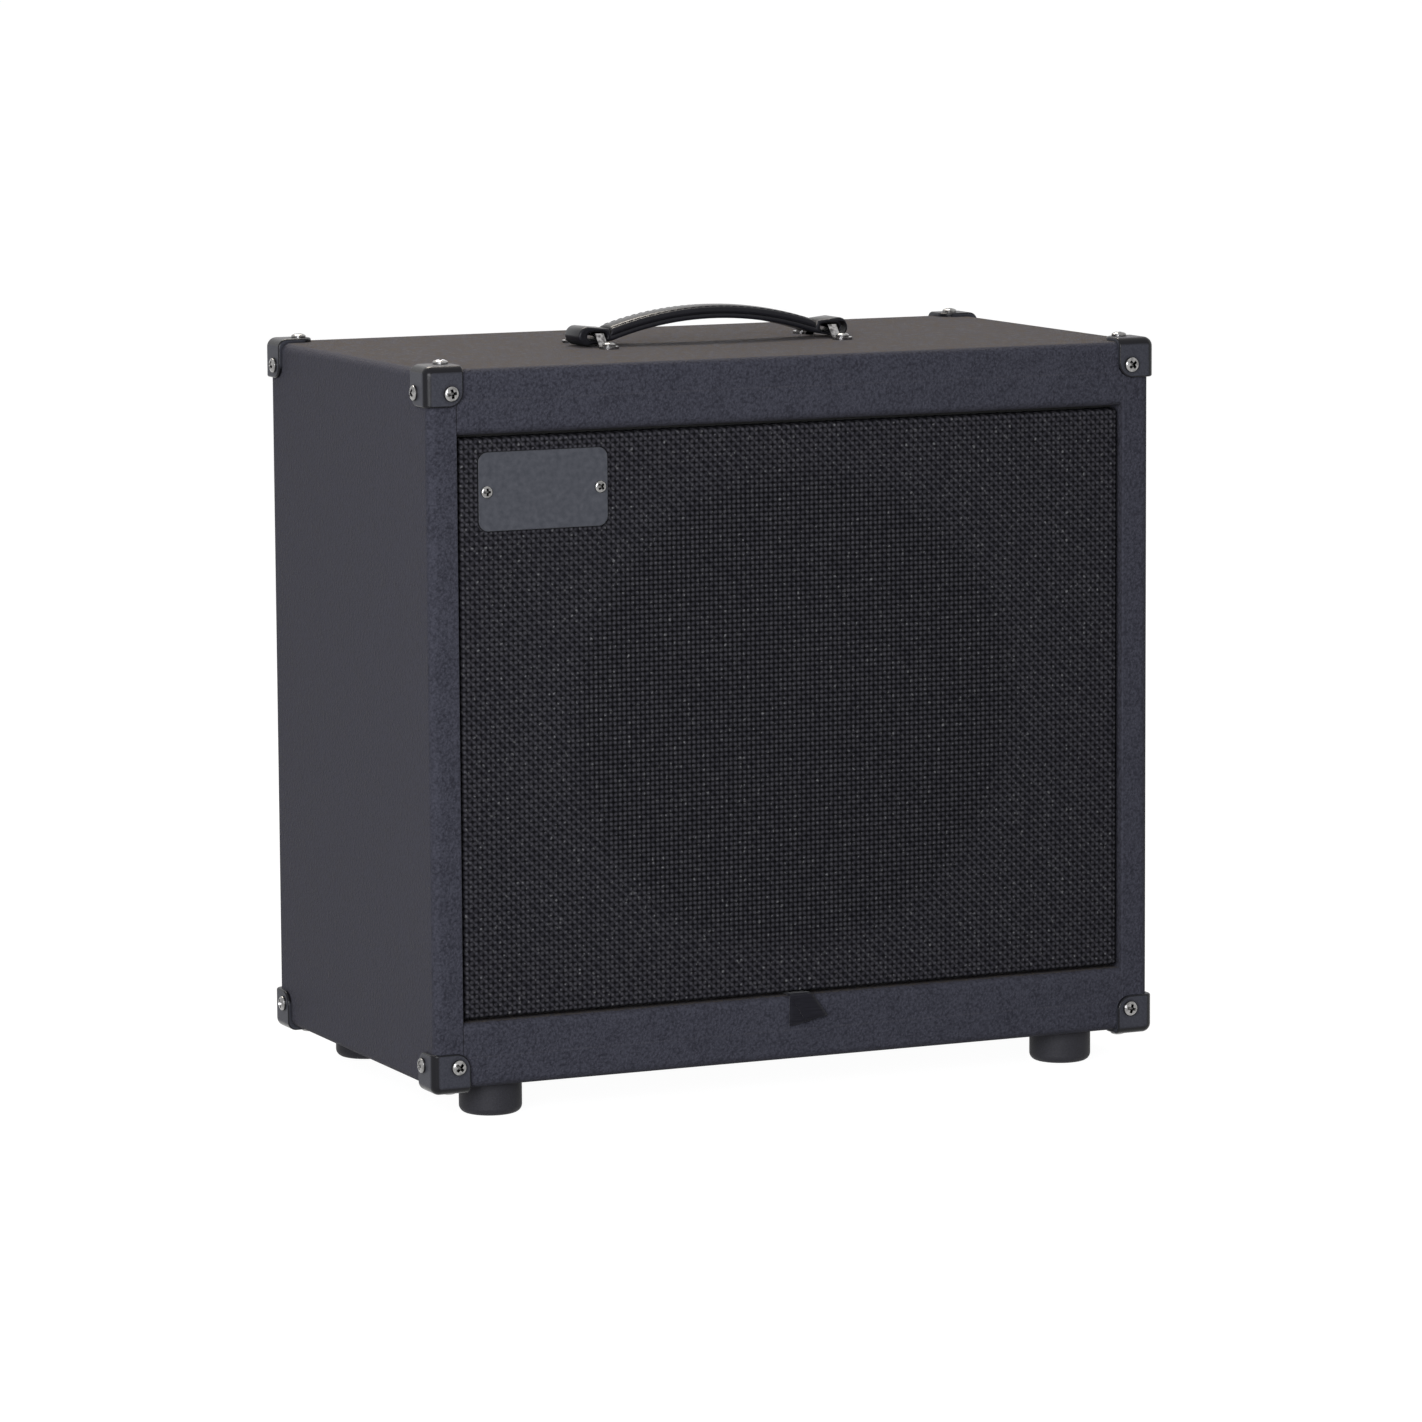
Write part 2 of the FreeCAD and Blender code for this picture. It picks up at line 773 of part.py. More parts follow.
flange = rounded_block("dish_flange", about(NONE, size.dish_width / 2), (back_panel_rear, dish_rear),
                       about(dish_z, size.dish_height / 2), size.dish_corner_radius, along_depth)
well = block("dish_well", about(NONE, well_half_x + size.dish_wall), (well_back, back_panel_rear),
             about(dish_z, well_half_z + size.dish_wall))
hollow = block("dish_hollow", about(NONE, well_half_x), (well_floor, dish_rear + size.overrun),
               about(dish_z, well_half_z))
jack_half = size.jack_spacing / 2
bush_hole = size.jack_bush_diameter + 2 * size.screw_clearance
bush_holes = [
    cylinder(f"dish_bush_hole_{LEFT_RIGHT[side_x]}", "y", bush_hole, size.dish_wall + 2 * size.overrun,
             jack_half * side_x, well_back - size.overrun, dish_z)
    for side_x in SIDES
]
dish_screw_x = size.dish_width / 2 - size.dish_screw_inset
dish_screw_z = size.dish_height / 2 - size.dish_screw_inset
dish_screw_places = [
    (Vector(dish_screw_x.value * side_x, dish_rear.value, dish_z.value + dish_screw_z.value * side_z),
     backward)
    for side_x in SIDES for side_z in SIDES
]
dish_hole = hole_shape(size.dish_screw_shank, size.dish_screw_length)
dish_holes = copies("dish_screw_holes", dish_hole, dish_screw_places)
dish_blank = cut("dish_blank", fused("dish_solid", [flange, well]), hollow)
node(cut("jack_dish", dish_blank, group("dish_cuts", bush_holes + [dish_holes])), "jack_dish")
dish_screw = screw_shape(size.dish_screw_head, size.dish_screw_head_height,
                         size.dish_screw_shank, size.dish_screw_length)
node(copies("jack_dish_screws", dish_screw, dish_screw_places), "jack_dish_screws")

dish_window = block("back_dish_window", about(NONE, well_half_x + size.dish_wall + size.dish_clearance),
                    (back_panel_front - size.overrun, back_panel_rear + size.overrun),
                    about(dish_z, well_half_z + size.dish_wall + size.dish_clearance))
back_blank = block("back_blank", (-back_half_width, back_half_width), (back_panel_front, back_panel_rear),
                   (back_bottom, back_top))
node(cut("back_panel", back_blank, group("back_cuts", [back_holes, dish_holes, dish_window])), "back_panel")

jack_mouth = well_floor + size.jack_bush_reach
jack_back = well_back - size.jack_body_length
jack_names = {-1: "input_jack", 1: "link_jack"}
for side_x in SIDES:
    label = jack_names[side_x]
    jack_x = jack_half * side_x
    case = block(f"{label}_case", about(jack_x, size.jack_body_size / 2), (jack_back, well_back),
                 about(dish_z, size.jack_body_size / 2))
    bush = cylinder(f"{label}_bush", "y", size.jack_bush_diameter, jack_mouth - well_back,
                    jack_x, well_back, dish_z)
    bore = cylinder(f"{label}_bore", "y", size.jack_bore_diameter, size.jack_bore_depth + size.overrun,
                    jack_x, jack_mouth - size.jack_bore_depth, dish_z)
    node(cut(label, fused(f"{label}_blank", [case, bush]), bore), label)

nuts = []
for side_x in SIDES:
    blank = doc.addObject("Part::Prism", f"jack_nut_blank_{LEFT_RIGHT[side_x]}")
    blank.Polygon = NUT_SIDES
    bind(blank, Circumradius=size.jack_nut_across / 2, Height=size.jack_nut_thickness)
    blank.Placement = Placement(Vector(), AXIS_TURNS["y"])
    place(blank, jack_half * side_x, well_floor, dish_z)
    nuts.append(cut(f"jack_nut_{LEFT_RIGHT[side_x]}", blank, bush_holes[SIDES.index(side_x)]))
node(group("jack_nuts", nuts), "jack_nuts")


# Speaker: turned pieces about an axis that runs back from the baffle

def on_axis(item):
    item.Placement = Placement(Vector(), AXIS_TURNS["y"])
    place(item, NONE, baffle_back, body_middle)
    return item


def speaker_part(label, corners):
    return node(on_axis(turned(label, corners)), label)


def wave_outline(inner, outer, middle, height, thickness, waves):
    """A corrugated ring: a wave from one radius to another, with a wall of one thickness."""
    steps = waves * len(WAVE_SHARES)
    front = []
    for index in range(steps + 1):
        radius = inner + (outer - inner) * (index / steps)
        front.append((radius, middle + height * WAVE_SHARES[index % len(WAVE_SHARES)]))
    rear = [(radius, depth + thickness) for radius, depth in reversed(front)]
    return front, rear


flange_front = size.gasket_thickness + size.surround_thickness
rim_radius = flange_radius - size.surround_rim_inset
mouth_radius = rim_radius - size.surround_seat_width
cone_radius = mouth_radius - size.surround_roll_width
can_radius = size.spider_can_diameter / 2
shelf_radius = can_radius + size.spider_shelf_width
former_radius = size.former_diameter / 2
coil_radius = former_radius + size.coil_wall
seat_radius = coil_radius + size.basket_seat_gap
wall = size.basket_wall

# The cone's neck stops short of the spider by the cone's travel, and the coil sits about the top plate
shelf_depth = size.basket_depth - size.spider_can_height
spider_front = shelf_depth - size.surround_thickness
cone_neck_depth = spider_front - size.spider_wave - size.cone_travel - size.cone_thickness
top_plate_front = size.basket_depth + wall
former_end = top_plate_front + (size.top_plate_thickness + size.coil_length) / 2

bolt_points = [(point, backward) for point in on_circle(
    bolt_circle, SPEAKER_BOLTS, baffle_back + flange_front + wall)]
bolt_length = wall + flange_front + size.tee_barrel_length
bolt = screw_shape(size.bolt_head, size.bolt_head_height, size.bolt_diameter, bolt_length)
bolt_hole = hole_shape(size.bolt_diameter, bolt_length + size.overrun)
node(copies("speaker_bolts", bolt, bolt_points), "speaker_bolts")
bolt_holes = copies("speaker_bolt_holes", bolt_hole, bolt_points)

gasket = on_axis(turned("gasket_ring", [
    (cutout_radius, NONE),
    (flange_radius, NONE),
    (flange_radius, flange_front),
    (rim_radius, flange_front),
    (rim_radius, size.gasket_thickness),
    (cutout_radius, size.gasket_thickness),
]))
node(cut("speaker_gasket", gasket, bolt_holes), "speaker_gasket")

basket = on_axis(turned("basket_pressing", [
    (flange_radius, flange_front),
    (flange_radius, flange_front + wall),
    (mouth_radius, flange_front + wall),
    (shelf_radius, shelf_depth + wall),
    (can_radius + wall, shelf_depth + wall),
    (can_radius + wall, size.basket_depth + wall),
    (seat_radius, size.basket_depth + wall),
    (seat_radius, size.basket_depth),
    (can_radius, size.basket_depth),
    (can_radius, shelf_depth),
    (shelf_radius, shelf_depth),
    (mouth_radius, flange_front),
]))
window_inner = shelf_radius + size.basket_window_gap
window_outer = mouth_radius - size.basket_window_gap
window_half = size.basket_window_width / 2
window_sketch = new_sketch(basket, "XY_Plane")
draw(window_sketch, [
    (window_inner, -window_half),
    (window_outer, -window_half),
    (window_outer, window_half),
    (window_inner, window_half),
])
window_cut = basket.newObject("PartDesign::Pocket", "basket_window")
window_cut.Profile = window_sketch
window_cut.Type = "ThroughAll"
window_cut.Reversed = True
doc.recompute()
windows = basket.newObject("PartDesign::PolarPattern", "basket_windows")
windows.Originals = [window_cut]
windows.Axis = (window_sketch, ["N_Axis"])
windows.Angle = FULL_TURN
windows.Occurrences = BASKET_WINDOWS
basket.Tip = windows
node(cut("speaker_basket", basket, bolt_holes), "speaker_basket")

roll_front, roll_rear = wave_outline(cone_radius + size.moving_clearance, mouth_radius,
                                     size.gasket_thickness, size.surround_wave,
                                     size.surround_thickness, SURROUND_WAVES)
roll_rim = [(rim_radius, size.gasket_thickness), (rim_radius, flange_front)]
speaker_part("speaker_surround", roll_front + roll_rim + roll_rear)

wave_front, wave_rear = wave_outline(former_radius + size.moving_clearance, can_radius, spider_front,
                                     size.spider_wave, size.surround_thickness, SPIDER_WAVES)
wave_rim = [(shelf_radius, spider_front), (shelf_radius, shelf_depth)]
speaker_part("speaker_spider", wave_front + wave_rim + wave_rear)

speaker_part("speaker_cone", [
    (cone_radius, size.cone_rim_depth),
    (cone_radius, size.cone_rim_depth + size.cone_thickness),
    (former_radius, cone_neck_depth + size.cone_thickness),
    (former_radius, cone_neck_depth),
])

cap_radius = size.dust_cap_diameter / 2
cone_slope = (cone_neck_depth - size.cone_rim_depth) / (cone_radius - former_radius)
cap_base = size.cone_rim_depth + cone_slope * (cone_radius - cap_radius)
cap_apex = cap_base - size.dust_cap_rise
cap_sphere = (cap_radius * cap_radius + size.dust_cap_rise * size.dust_cap_rise) / (2 * size.dust_cap_rise)
cap_inner_sphere = cap_sphere - size.cone_thickness
cap_inner_drop = cap_sphere - size.dust_cap_rise
cap_inner_radius = square_root(cap_inner_sphere * cap_inner_sphere - cap_inner_drop * cap_inner_drop)
speaker_part("speaker_dust_cap", [
    (NONE, cap_apex),
    (cap_radius, cap_base, cap_sphere),
    (cap_inner_radius, cap_base),
    (NONE, cap_apex + size.cone_thickness, -cap_inner_sphere),
])

former_inner = former_radius - size.former_wall
speaker_part("voice_coil_former", [
    (former_inner, cone_neck_depth),
    (former_radius, cone_neck_depth),
    (former_radius, former_end),
    (former_inner, former_end),
])
speaker_part("voice_coil", [
    (former_radius, former_end - size.coil_length),
    (coil_radius, former_end - size.coil_length),
    (coil_radius, former_end),
    (former_radius, former_end),
])

magnet_front = top_plate_front + size.top_plate_thickness
back_plate_front = magnet_front + size.magnet_thickness
back_plate_rear = back_plate_front + size.back_plate_thickness
plate_radius = size.top_plate_diameter / 2
pole_radius = former_inner - size.coil_gap
speaker_part("magnet_top_plate", [
    (coil_radius + size.coil_gap, top_plate_front),
    (plate_radius, top_plate_front),
    (plate_radius, magnet_front),
    (coil_radius + size.coil_gap, magnet_front),
])
speaker_part("magnet_ring", [
    (size.magnet_bore / 2, magnet_front),
    (size.magnet_diameter / 2, magnet_front),
    (size.magnet_diameter / 2, back_plate_front),
    (size.magnet_bore / 2, back_plate_front),
])
speaker_part("magnet_yoke", [
    (NONE, top_plate_front),
    (pole_radius, top_plate_front),
    (pole_radius, back_plate_front),
    (plate_radius, back_plate_front),
    (plate_radius, back_plate_rear),
    (NONE, back_plate_rear),
])

# Terminal block, saddled on the basket's can

terminal_x = -jack_half
terminal_y = baffle_back + shelf_depth + wall
terminal_bottom = body_middle - can_radius - wall - size.terminal_height
can_tool = cylinder("terminal_saddle", "y", size.spider_can_diameter + 2 * wall,
                    size.terminal_length + 2 * size.overrun, NONE, terminal_y - size.overrun, body_middle)
terminal_blank = block("terminal_blank", about(terminal_x, size.terminal_width / 2),
                       (terminal_y, terminal_y + size.terminal_length),
                       (terminal_bottom, body_middle - can_radius + size.terminal_height))
node(cut("speaker_terminals", terminal_blank, can_tool), "speaker_terminals")


# Tee nuts in the front of the baffle

tee_flange = Part.makeCylinder(size.tee_flange_diameter.value / 2, size.tee_flange_thickness.value)
tee_barrel = Part.makeCylinder(size.tee_barrel_diameter.value / 2, size.tee_barrel_length.value,
                               Vector(0, 0, -size.tee_barrel_length.value))
tee_blank = copies("tee_blank", tee_flange.fuse(tee_barrel), tee_points)
thread_length = size.tee_barrel_length + 2 * size.overrun
thread_radius = size.bolt_diameter / 2 + size.screw_clearance
thread_bore = Part.makeCylinder(thread_radius.value, thread_length.value,
                                Vector(0, 0, size.overrun.value - thread_length.value))
thread_holes = copies("tee_thread_holes", thread_bore, tee_points)
node(cut("speaker_tee_nuts", tee_blank, thread_holes), "speaker_tee_nuts")


# Grille: board, cloth, strips, badge

grille_half_width = inner_half_width - size.grille_gap
grille_bottom = opening_bottom + size.grille_gap
grille_top = opening_top - size.grille_gap
board_half_width = grille_half_width - size.cloth_thickness
board_bottom = grille_bottom + size.cloth_thickness
board_top = grille_top - size.cloth_thickness
cloth_back = board_back + size.cloth_thickness

badge_left = size.badge_side_inset - half_width
badge_right = badge_left + size.badge_width
badge_top = body_top - size.badge_top_inset
badge_middle = badge_top - size.badge_height / 2
badge_front = cloth_front - size.badge_thickness
badge_places = [
    (Vector(screw_x.value, badge_front.value, badge_middle.value), forward)
    for screw_x in (badge_left + size.badge_screw_inset, badge_right - size.badge_screw_inset)
]
badge_hole = hole_shape(size.badge_screw_shank, size.badge_screw_length)
badge_holes = copies("badge_screw_holes", badge_hole, badge_places)
badge_screw = screw_shape(size.badge_screw_head, size.badge_screw_head_height,
                          size.badge_screw_shank, size.badge_screw_length)
node(copies("badge_screws", badge_screw, badge_places), "badge_screws")
badge = rounded_block("badge_blank", (badge_left, badge_right), (badge_front, cloth_front),
                      (badge_top - size.badge_height, badge_top), size.badge_corner_radius,
                      lambda middle: not (near(middle.y, badge_front) or near(middle.y, cloth_front)))
round_edges(badge, size.badge_rim_radius, lambda middle: near(middle.y, badge_front))
node(cut("badge_plate", badge, badge_holes), "badge_plate")

board_solid = rounded_block("grille_board_solid", (-board_half_width, board_half_width),
                            (board_front, board_back), (board_bottom, board_top), size.grille_edge_radius,
                            lambda middle: near(middle.y, board_front))
grille_hole = cylinder("grille_board_hole", "y", 2 * (cutout_radius + size.grille_hole_margin),
                       size.grille_board_thickness + 2 * size.overrun,
                       NONE, board_front - size.overrun, body_middle)
board_cuts = group("grille_board_cuts", [grille_hole, badge_holes])
node(cut("grille_board", board_solid, board_cuts), "grille_board")

cloth_solid = rounded_block("grille_cloth_solid", (-grille_half_width, grille_half_width),
                            (cloth_front, cloth_back), (grille_bottom, grille_top),
                            size.grille_edge_radius + size.cloth_thickness,
                            lambda middle: near(middle.y, cloth_front))
hem_window = block("grille_cloth_window",
                   (size.cloth_hem_width - grille_half_width, grille_half_width - size.cloth_hem_width),
                   (board_back - size.overrun, cloth_back + size.overrun),
                   (grille_bottom + size.cloth_hem_width, grille_top - size.cloth_hem_width))
cloth_cuts = group("grille_cloth_cuts", [board_solid, hem_window, badge_holes])
node(cut("grille_cloth", cloth_solid, cloth_cuts), "grille_cloth")

strip_x = board_half_width - size.strip_inset
strip_span_z = about(body_middle, size.strip_length / 2)
loop_span = (board_back, board_back + size.strip_thickness)
hook_span = (baffle_front - size.strip_thickness, baffle_front)
for label, span in (("grille_loop_strips", loop_span), ("baffle_hook_strips", hook_span)):
    strips = [
        block(f"{label}_{LEFT_RIGHT[side_x]}", about(strip_x * side_x, size.strip_width / 2),
              span, strip_span_z)
        for side_x in SIDES
    ]
    node(group(label, strips), label)


# Pull tab: its root lies under the grille and is fixed behind it, its tails hang over the rail

tab_y = -half_depth - size.tab_rail_clearance - size.ribbon_thickness
tab_z = opening_bottom + size.grille_gap / 2
root_span_z = about(tab_z, size.ribbon_thickness / 2)
root_x = about(NONE, size.ribbon_width / 2)
root_front = tab_y + size.ribbon_thickness + size.tab_hinge_clearance
root_back = cloth_back + size.ribbon_thickness
root_flat = block("tab_root_flat", root_x, (root_front, root_back), root_span_z)
root_upright = block("tab_root_upright", root_x, (cloth_back, root_back),
                     (root_span_z[0], tab_z + size.tab_anchor_height))
node(fused("pull_tab_root", [root_flat, root_upright]), "pull_tab_root")

tab_fold = cylinder("tab_fold", "x", 2 * size.ribbon_thickness, size.ribbon_width,
                    -size.ribbon_width / 2, tab_y, tab_z)


def tail(name, length, lean, slant, depth):
    """A flat tail of the ribbon: level at the fold, leaning to one side, and cut off at a slant."""
    half = size.ribbon_width / 2
    body = padded(name, "XZ_Plane", [
        (-half, NONE), (half, NONE), (lean + half, slant - length), (lean - half, -slant - length),
    ], size.ribbon_thickness)
    place(body, NONE, depth, tab_z)
    return body


left_tail = tail("tab_left_tail", size.tab_left_length, -size.tab_left_lean,
                 size.tab_left_end_slant, tab_y + size.ribbon_thickness / 2)
right_tail = tail("tab_right_tail", size.tab_right_length, size.tab_right_lean,
                  size.tab_right_end_slant, tab_y - size.ribbon_thickness / 2)
node(fused("pull_tab", [tab_fold, left_tail, right_tail]), "pull_tab")


# Strap handle: a strap with a loop at each end, and a padded grip sewn on top of it

arch_centre = body_top + size.handle_clear_height - size.handle_arch_radius
strap_outer = size.handle_arch_radius + size.handle_strap_thickness
grip_outer = strap_outer + size.handle_grip_thickness
grip_sine = size.handle_grip_length / 2 / size.handle_arch_radius
grip_cosine = square_root(as_measure(1) - grip_sine * grip_sine)
loop_x = size.handle_loop_spacing / 2
loop_r = size.handle_loop_radius


def on_arch(radius):
    """The point of the right end of the grip at a distance from the arch's centre."""
    return (grip_sine * radius, arch_centre + grip_cosine * radius)


neck = on_arch(strap_outer + size.handle_neck_height)
strap_end = on_arch(strap_outer)
under_end = on_arch(size.handle_arch_radius)
strap = padded("handle_strap", "XZ_Plane", [
    (under_end[0], under_end[1], -size.handle_arch_radius),
    (loop_x, loop_height - loop_r),
    (loop_x + loop_r, loop_height, loop_r),
    (loop_x, loop_height + loop_r, loop_r),
    neck,
    strap_end,
    (-strap_end[0], strap_end[1], strap_outer),
    (-neck[0], neck[1]),
    (-loop_x, loop_height + loop_r),
    (-loop_x - loop_r, loop_height, loop_r),
    (-loop_x, loop_height - loop_r, loop_r),
    (-under_end[0], under_end[1]),
], size.handle_width)
eye_r = size.handle_eye_height / 2
eye_run = size.handle_eye_width / 2 - eye_r
eye_sketch = new_sketch(strap, "XZ_Plane")
for side_x in SIDES:
    eye_x = bracket_half_x * side_x
    draw(eye_sketch, [
        (eye_x + eye_run, loop_height - eye_r),
        (eye_x + eye_run + eye_r, loop_height, eye_r),
        (eye_x + eye_run, loop_height + eye_r, eye_r),
        (eye_x - eye_run, loop_height + eye_r),
        (eye_x - eye_run - eye_r, loop_height, eye_r),
        (eye_x - eye_run, loop_height - eye_r, eye_r),
    ])
eyes = strap.newObject("PartDesign::Pocket", "handle_eyes")
eyes.Profile = eye_sketch
eyes.Type = "ThroughAll"
eyes.SideType = "Symmetric"
node(strap, "handle_strap")

crown_rise = size.handle_grip_thickness - size.handle_grip_side
crown_half = size.handle_width / 2
crown_radius = (crown_half * crown_half + crown_rise * crown_rise) / (2 * crown_rise)
grip = doc.addObject("PartDesign::Body", "handle_grip")
grip_sketch = new_sketch(grip, "YZ_Plane")
draw(grip_sketch, [
    (-crown_half, strap_outer),
    (crown_half, strap_outer),
    (crown_half, strap_outer + size.handle_grip_side),
    (-crown_half, strap_outer + size.handle_grip_side, crown_radius),
])
grip_turn = grip.newObject("PartDesign::Revolution", "handle_grip_turn")
grip_turn.Profile = grip_sketch
grip_turn.ReferenceAxis = (grip_sketch, ["H_Axis"])
grip_turn.Midplane = True
grip_turn.setExpression("Angle", f"2 * asin({grip_sine.text})")
place(grip, NONE, NONE, arch_centre)
node(grip, "handle_grip")


# Corner protectors: three flaps round each corner of the box, mirrored from the first one

flap_x = (-half_width - size.corner_wall, size.corner_flap - half_width)
flap_y = (-half_depth - size.corner_wall, size.corner_flap - half_depth)
flap_z = (body_top - size.corner_flap, body_top + size.corner_wall)


def on_two(middle, x, y, z):
    """Choose the edges that lie on two of three planes."""
    return sum((near(middle.x, x), near(middle.y, y), near(middle.z, z))) == 2


corner_block = rounded_block("corner_block", flap_x, flap_y, flap_z, size.corner_edge_radius,
                             lambda middle: on_two(middle, flap_x[0], flap_y[0], flap_z[1]))
round_edges(corner_block, size.corner_tongue_radius,
            lambda middle: on_two(middle, flap_x[1], flap_y[1], flap_z[0]))


def on_flap_rim(middle):
    """Choose the outer edges of the three flaps, which end on the box but leave its edge lines."""
    reach = size.corner_flap.value
    inside = (
        half_width.value + middle.x < reach - NEAR_TOLERANCE,
        half_depth.value + middle.y < reach - NEAR_TOLERANCE,
        body_top.value - middle.z < reach - NEAR_TOLERANCE,
    )
    outer = near(middle.x, flap_x[0]) or near(middle.y, flap_y[0]) or near(middle.z, flap_z[1])
    return outer and not all(inside)


round_edges(corner_block, size.corner_rim_radius, on_flap_rim)
corner_shell = cut("corner_shell", corner_block, hull)
node(cut("corner_front_top_left", corner_shell, corner_holes), "corner_front_top_left")
corners_so_far = [nodes["corner_front_top_left"]]
for old_word, new_word, normal, base_z in (
    ("left", "right", Vector(1, 0, 0), NONE),
    ("front", "rear", Vector(0, 1, 0), NONE),
    ("top", "bottom", Vector(0, 0, 1), body_middle),
):
    for corner in list(corners_so_far):
        label = corner.Label.replace(old_word, new_word)
        corners_so_far.append(node(mirrored(label, corner, normal, base_z), label))


# Check every object, then write each sub-part

doc.recompute()
failed = [item.Label for item in doc.Objects if {"Invalid", "Error"} & set(item.State)]
if failed:
    raise RuntimeError(f"these objects did not build: {failed}")
for label, item in nodes.items():
    if item.Shape.isNull() or not item.Shape.isValid() or not item.Shape.Solids:
        raise RuntimeError(f"{label} has no valid shape")

os.makedirs("parts", exist_ok=True)
for label, item in nodes.items():
    item.Shape.exportStep(f"parts/{label}.step")
    print(label, len(item.Shape.Solids), round(item.Shape.Volume))
print(len(nodes), "sub-parts")
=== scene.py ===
import json
import math
import random

import bmesh
import bpy
from mathutils import Matrix, Vector


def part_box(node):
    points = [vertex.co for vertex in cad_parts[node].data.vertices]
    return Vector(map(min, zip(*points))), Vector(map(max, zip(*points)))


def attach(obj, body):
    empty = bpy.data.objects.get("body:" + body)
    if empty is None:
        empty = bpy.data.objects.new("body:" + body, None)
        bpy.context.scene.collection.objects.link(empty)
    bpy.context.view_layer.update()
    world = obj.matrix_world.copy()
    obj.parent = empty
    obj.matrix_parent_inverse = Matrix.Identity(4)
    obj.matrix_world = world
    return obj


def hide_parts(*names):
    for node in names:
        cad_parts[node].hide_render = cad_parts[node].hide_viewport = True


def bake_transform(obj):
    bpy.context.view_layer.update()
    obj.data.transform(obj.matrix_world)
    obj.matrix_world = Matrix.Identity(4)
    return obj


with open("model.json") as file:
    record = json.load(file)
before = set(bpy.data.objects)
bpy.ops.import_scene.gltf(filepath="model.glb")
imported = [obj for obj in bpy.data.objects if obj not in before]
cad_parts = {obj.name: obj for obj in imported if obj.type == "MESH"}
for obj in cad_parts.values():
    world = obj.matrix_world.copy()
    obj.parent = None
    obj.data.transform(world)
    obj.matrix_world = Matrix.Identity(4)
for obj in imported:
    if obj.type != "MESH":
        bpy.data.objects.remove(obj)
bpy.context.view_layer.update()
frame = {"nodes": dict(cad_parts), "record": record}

# Guitar speaker cabinet, dressed: materials for the imported parts, and finer pieces for the cloth, the
# strap handle, the ribbon, the speaker's corrugated rings, the hook-and-loop strips and the screws.
# Metres, in the frame of the imported parts: the front faces -Y and the feet stand on z = 0.

nodes = frame["nodes"]
slot_of = {part["node"]: part["material_slot"] for part in frame["record"]["subparts"]}

MM = 0.001
X, Y, Z = range(3)
RANDOM_START = 12
rng = random.Random(RANDOM_START)


# Materials. A span is where an effect starts and where it is full, in the numbers that the node gives.

NOISE_SPAN = (0.3, 0.7)
EDGE_SPAN = (0.98, 0.75)
ROLL_SPAN = (0.995, 0.93)
SHELTER_SPAN = (0.95, 0.3)
EDGE_SAMPLES = 4
SHELTER_SAMPLES = 6
PLAIN_DETAIL = 2
FINE_DETAIL = 3
PLAIN_SPECULAR = 0.5
EVEN = (1, 1, 1)
# The near-black of painted shade in folds and recesses
SHADE_BLACK = (0.002, 0.002, 0.002)

# Places of the colour sockets on a Mix node

MIX_FACTOR = 0
MIX_FIRST = 6
MIX_SECOND = 7
MIX_RESULT = 2


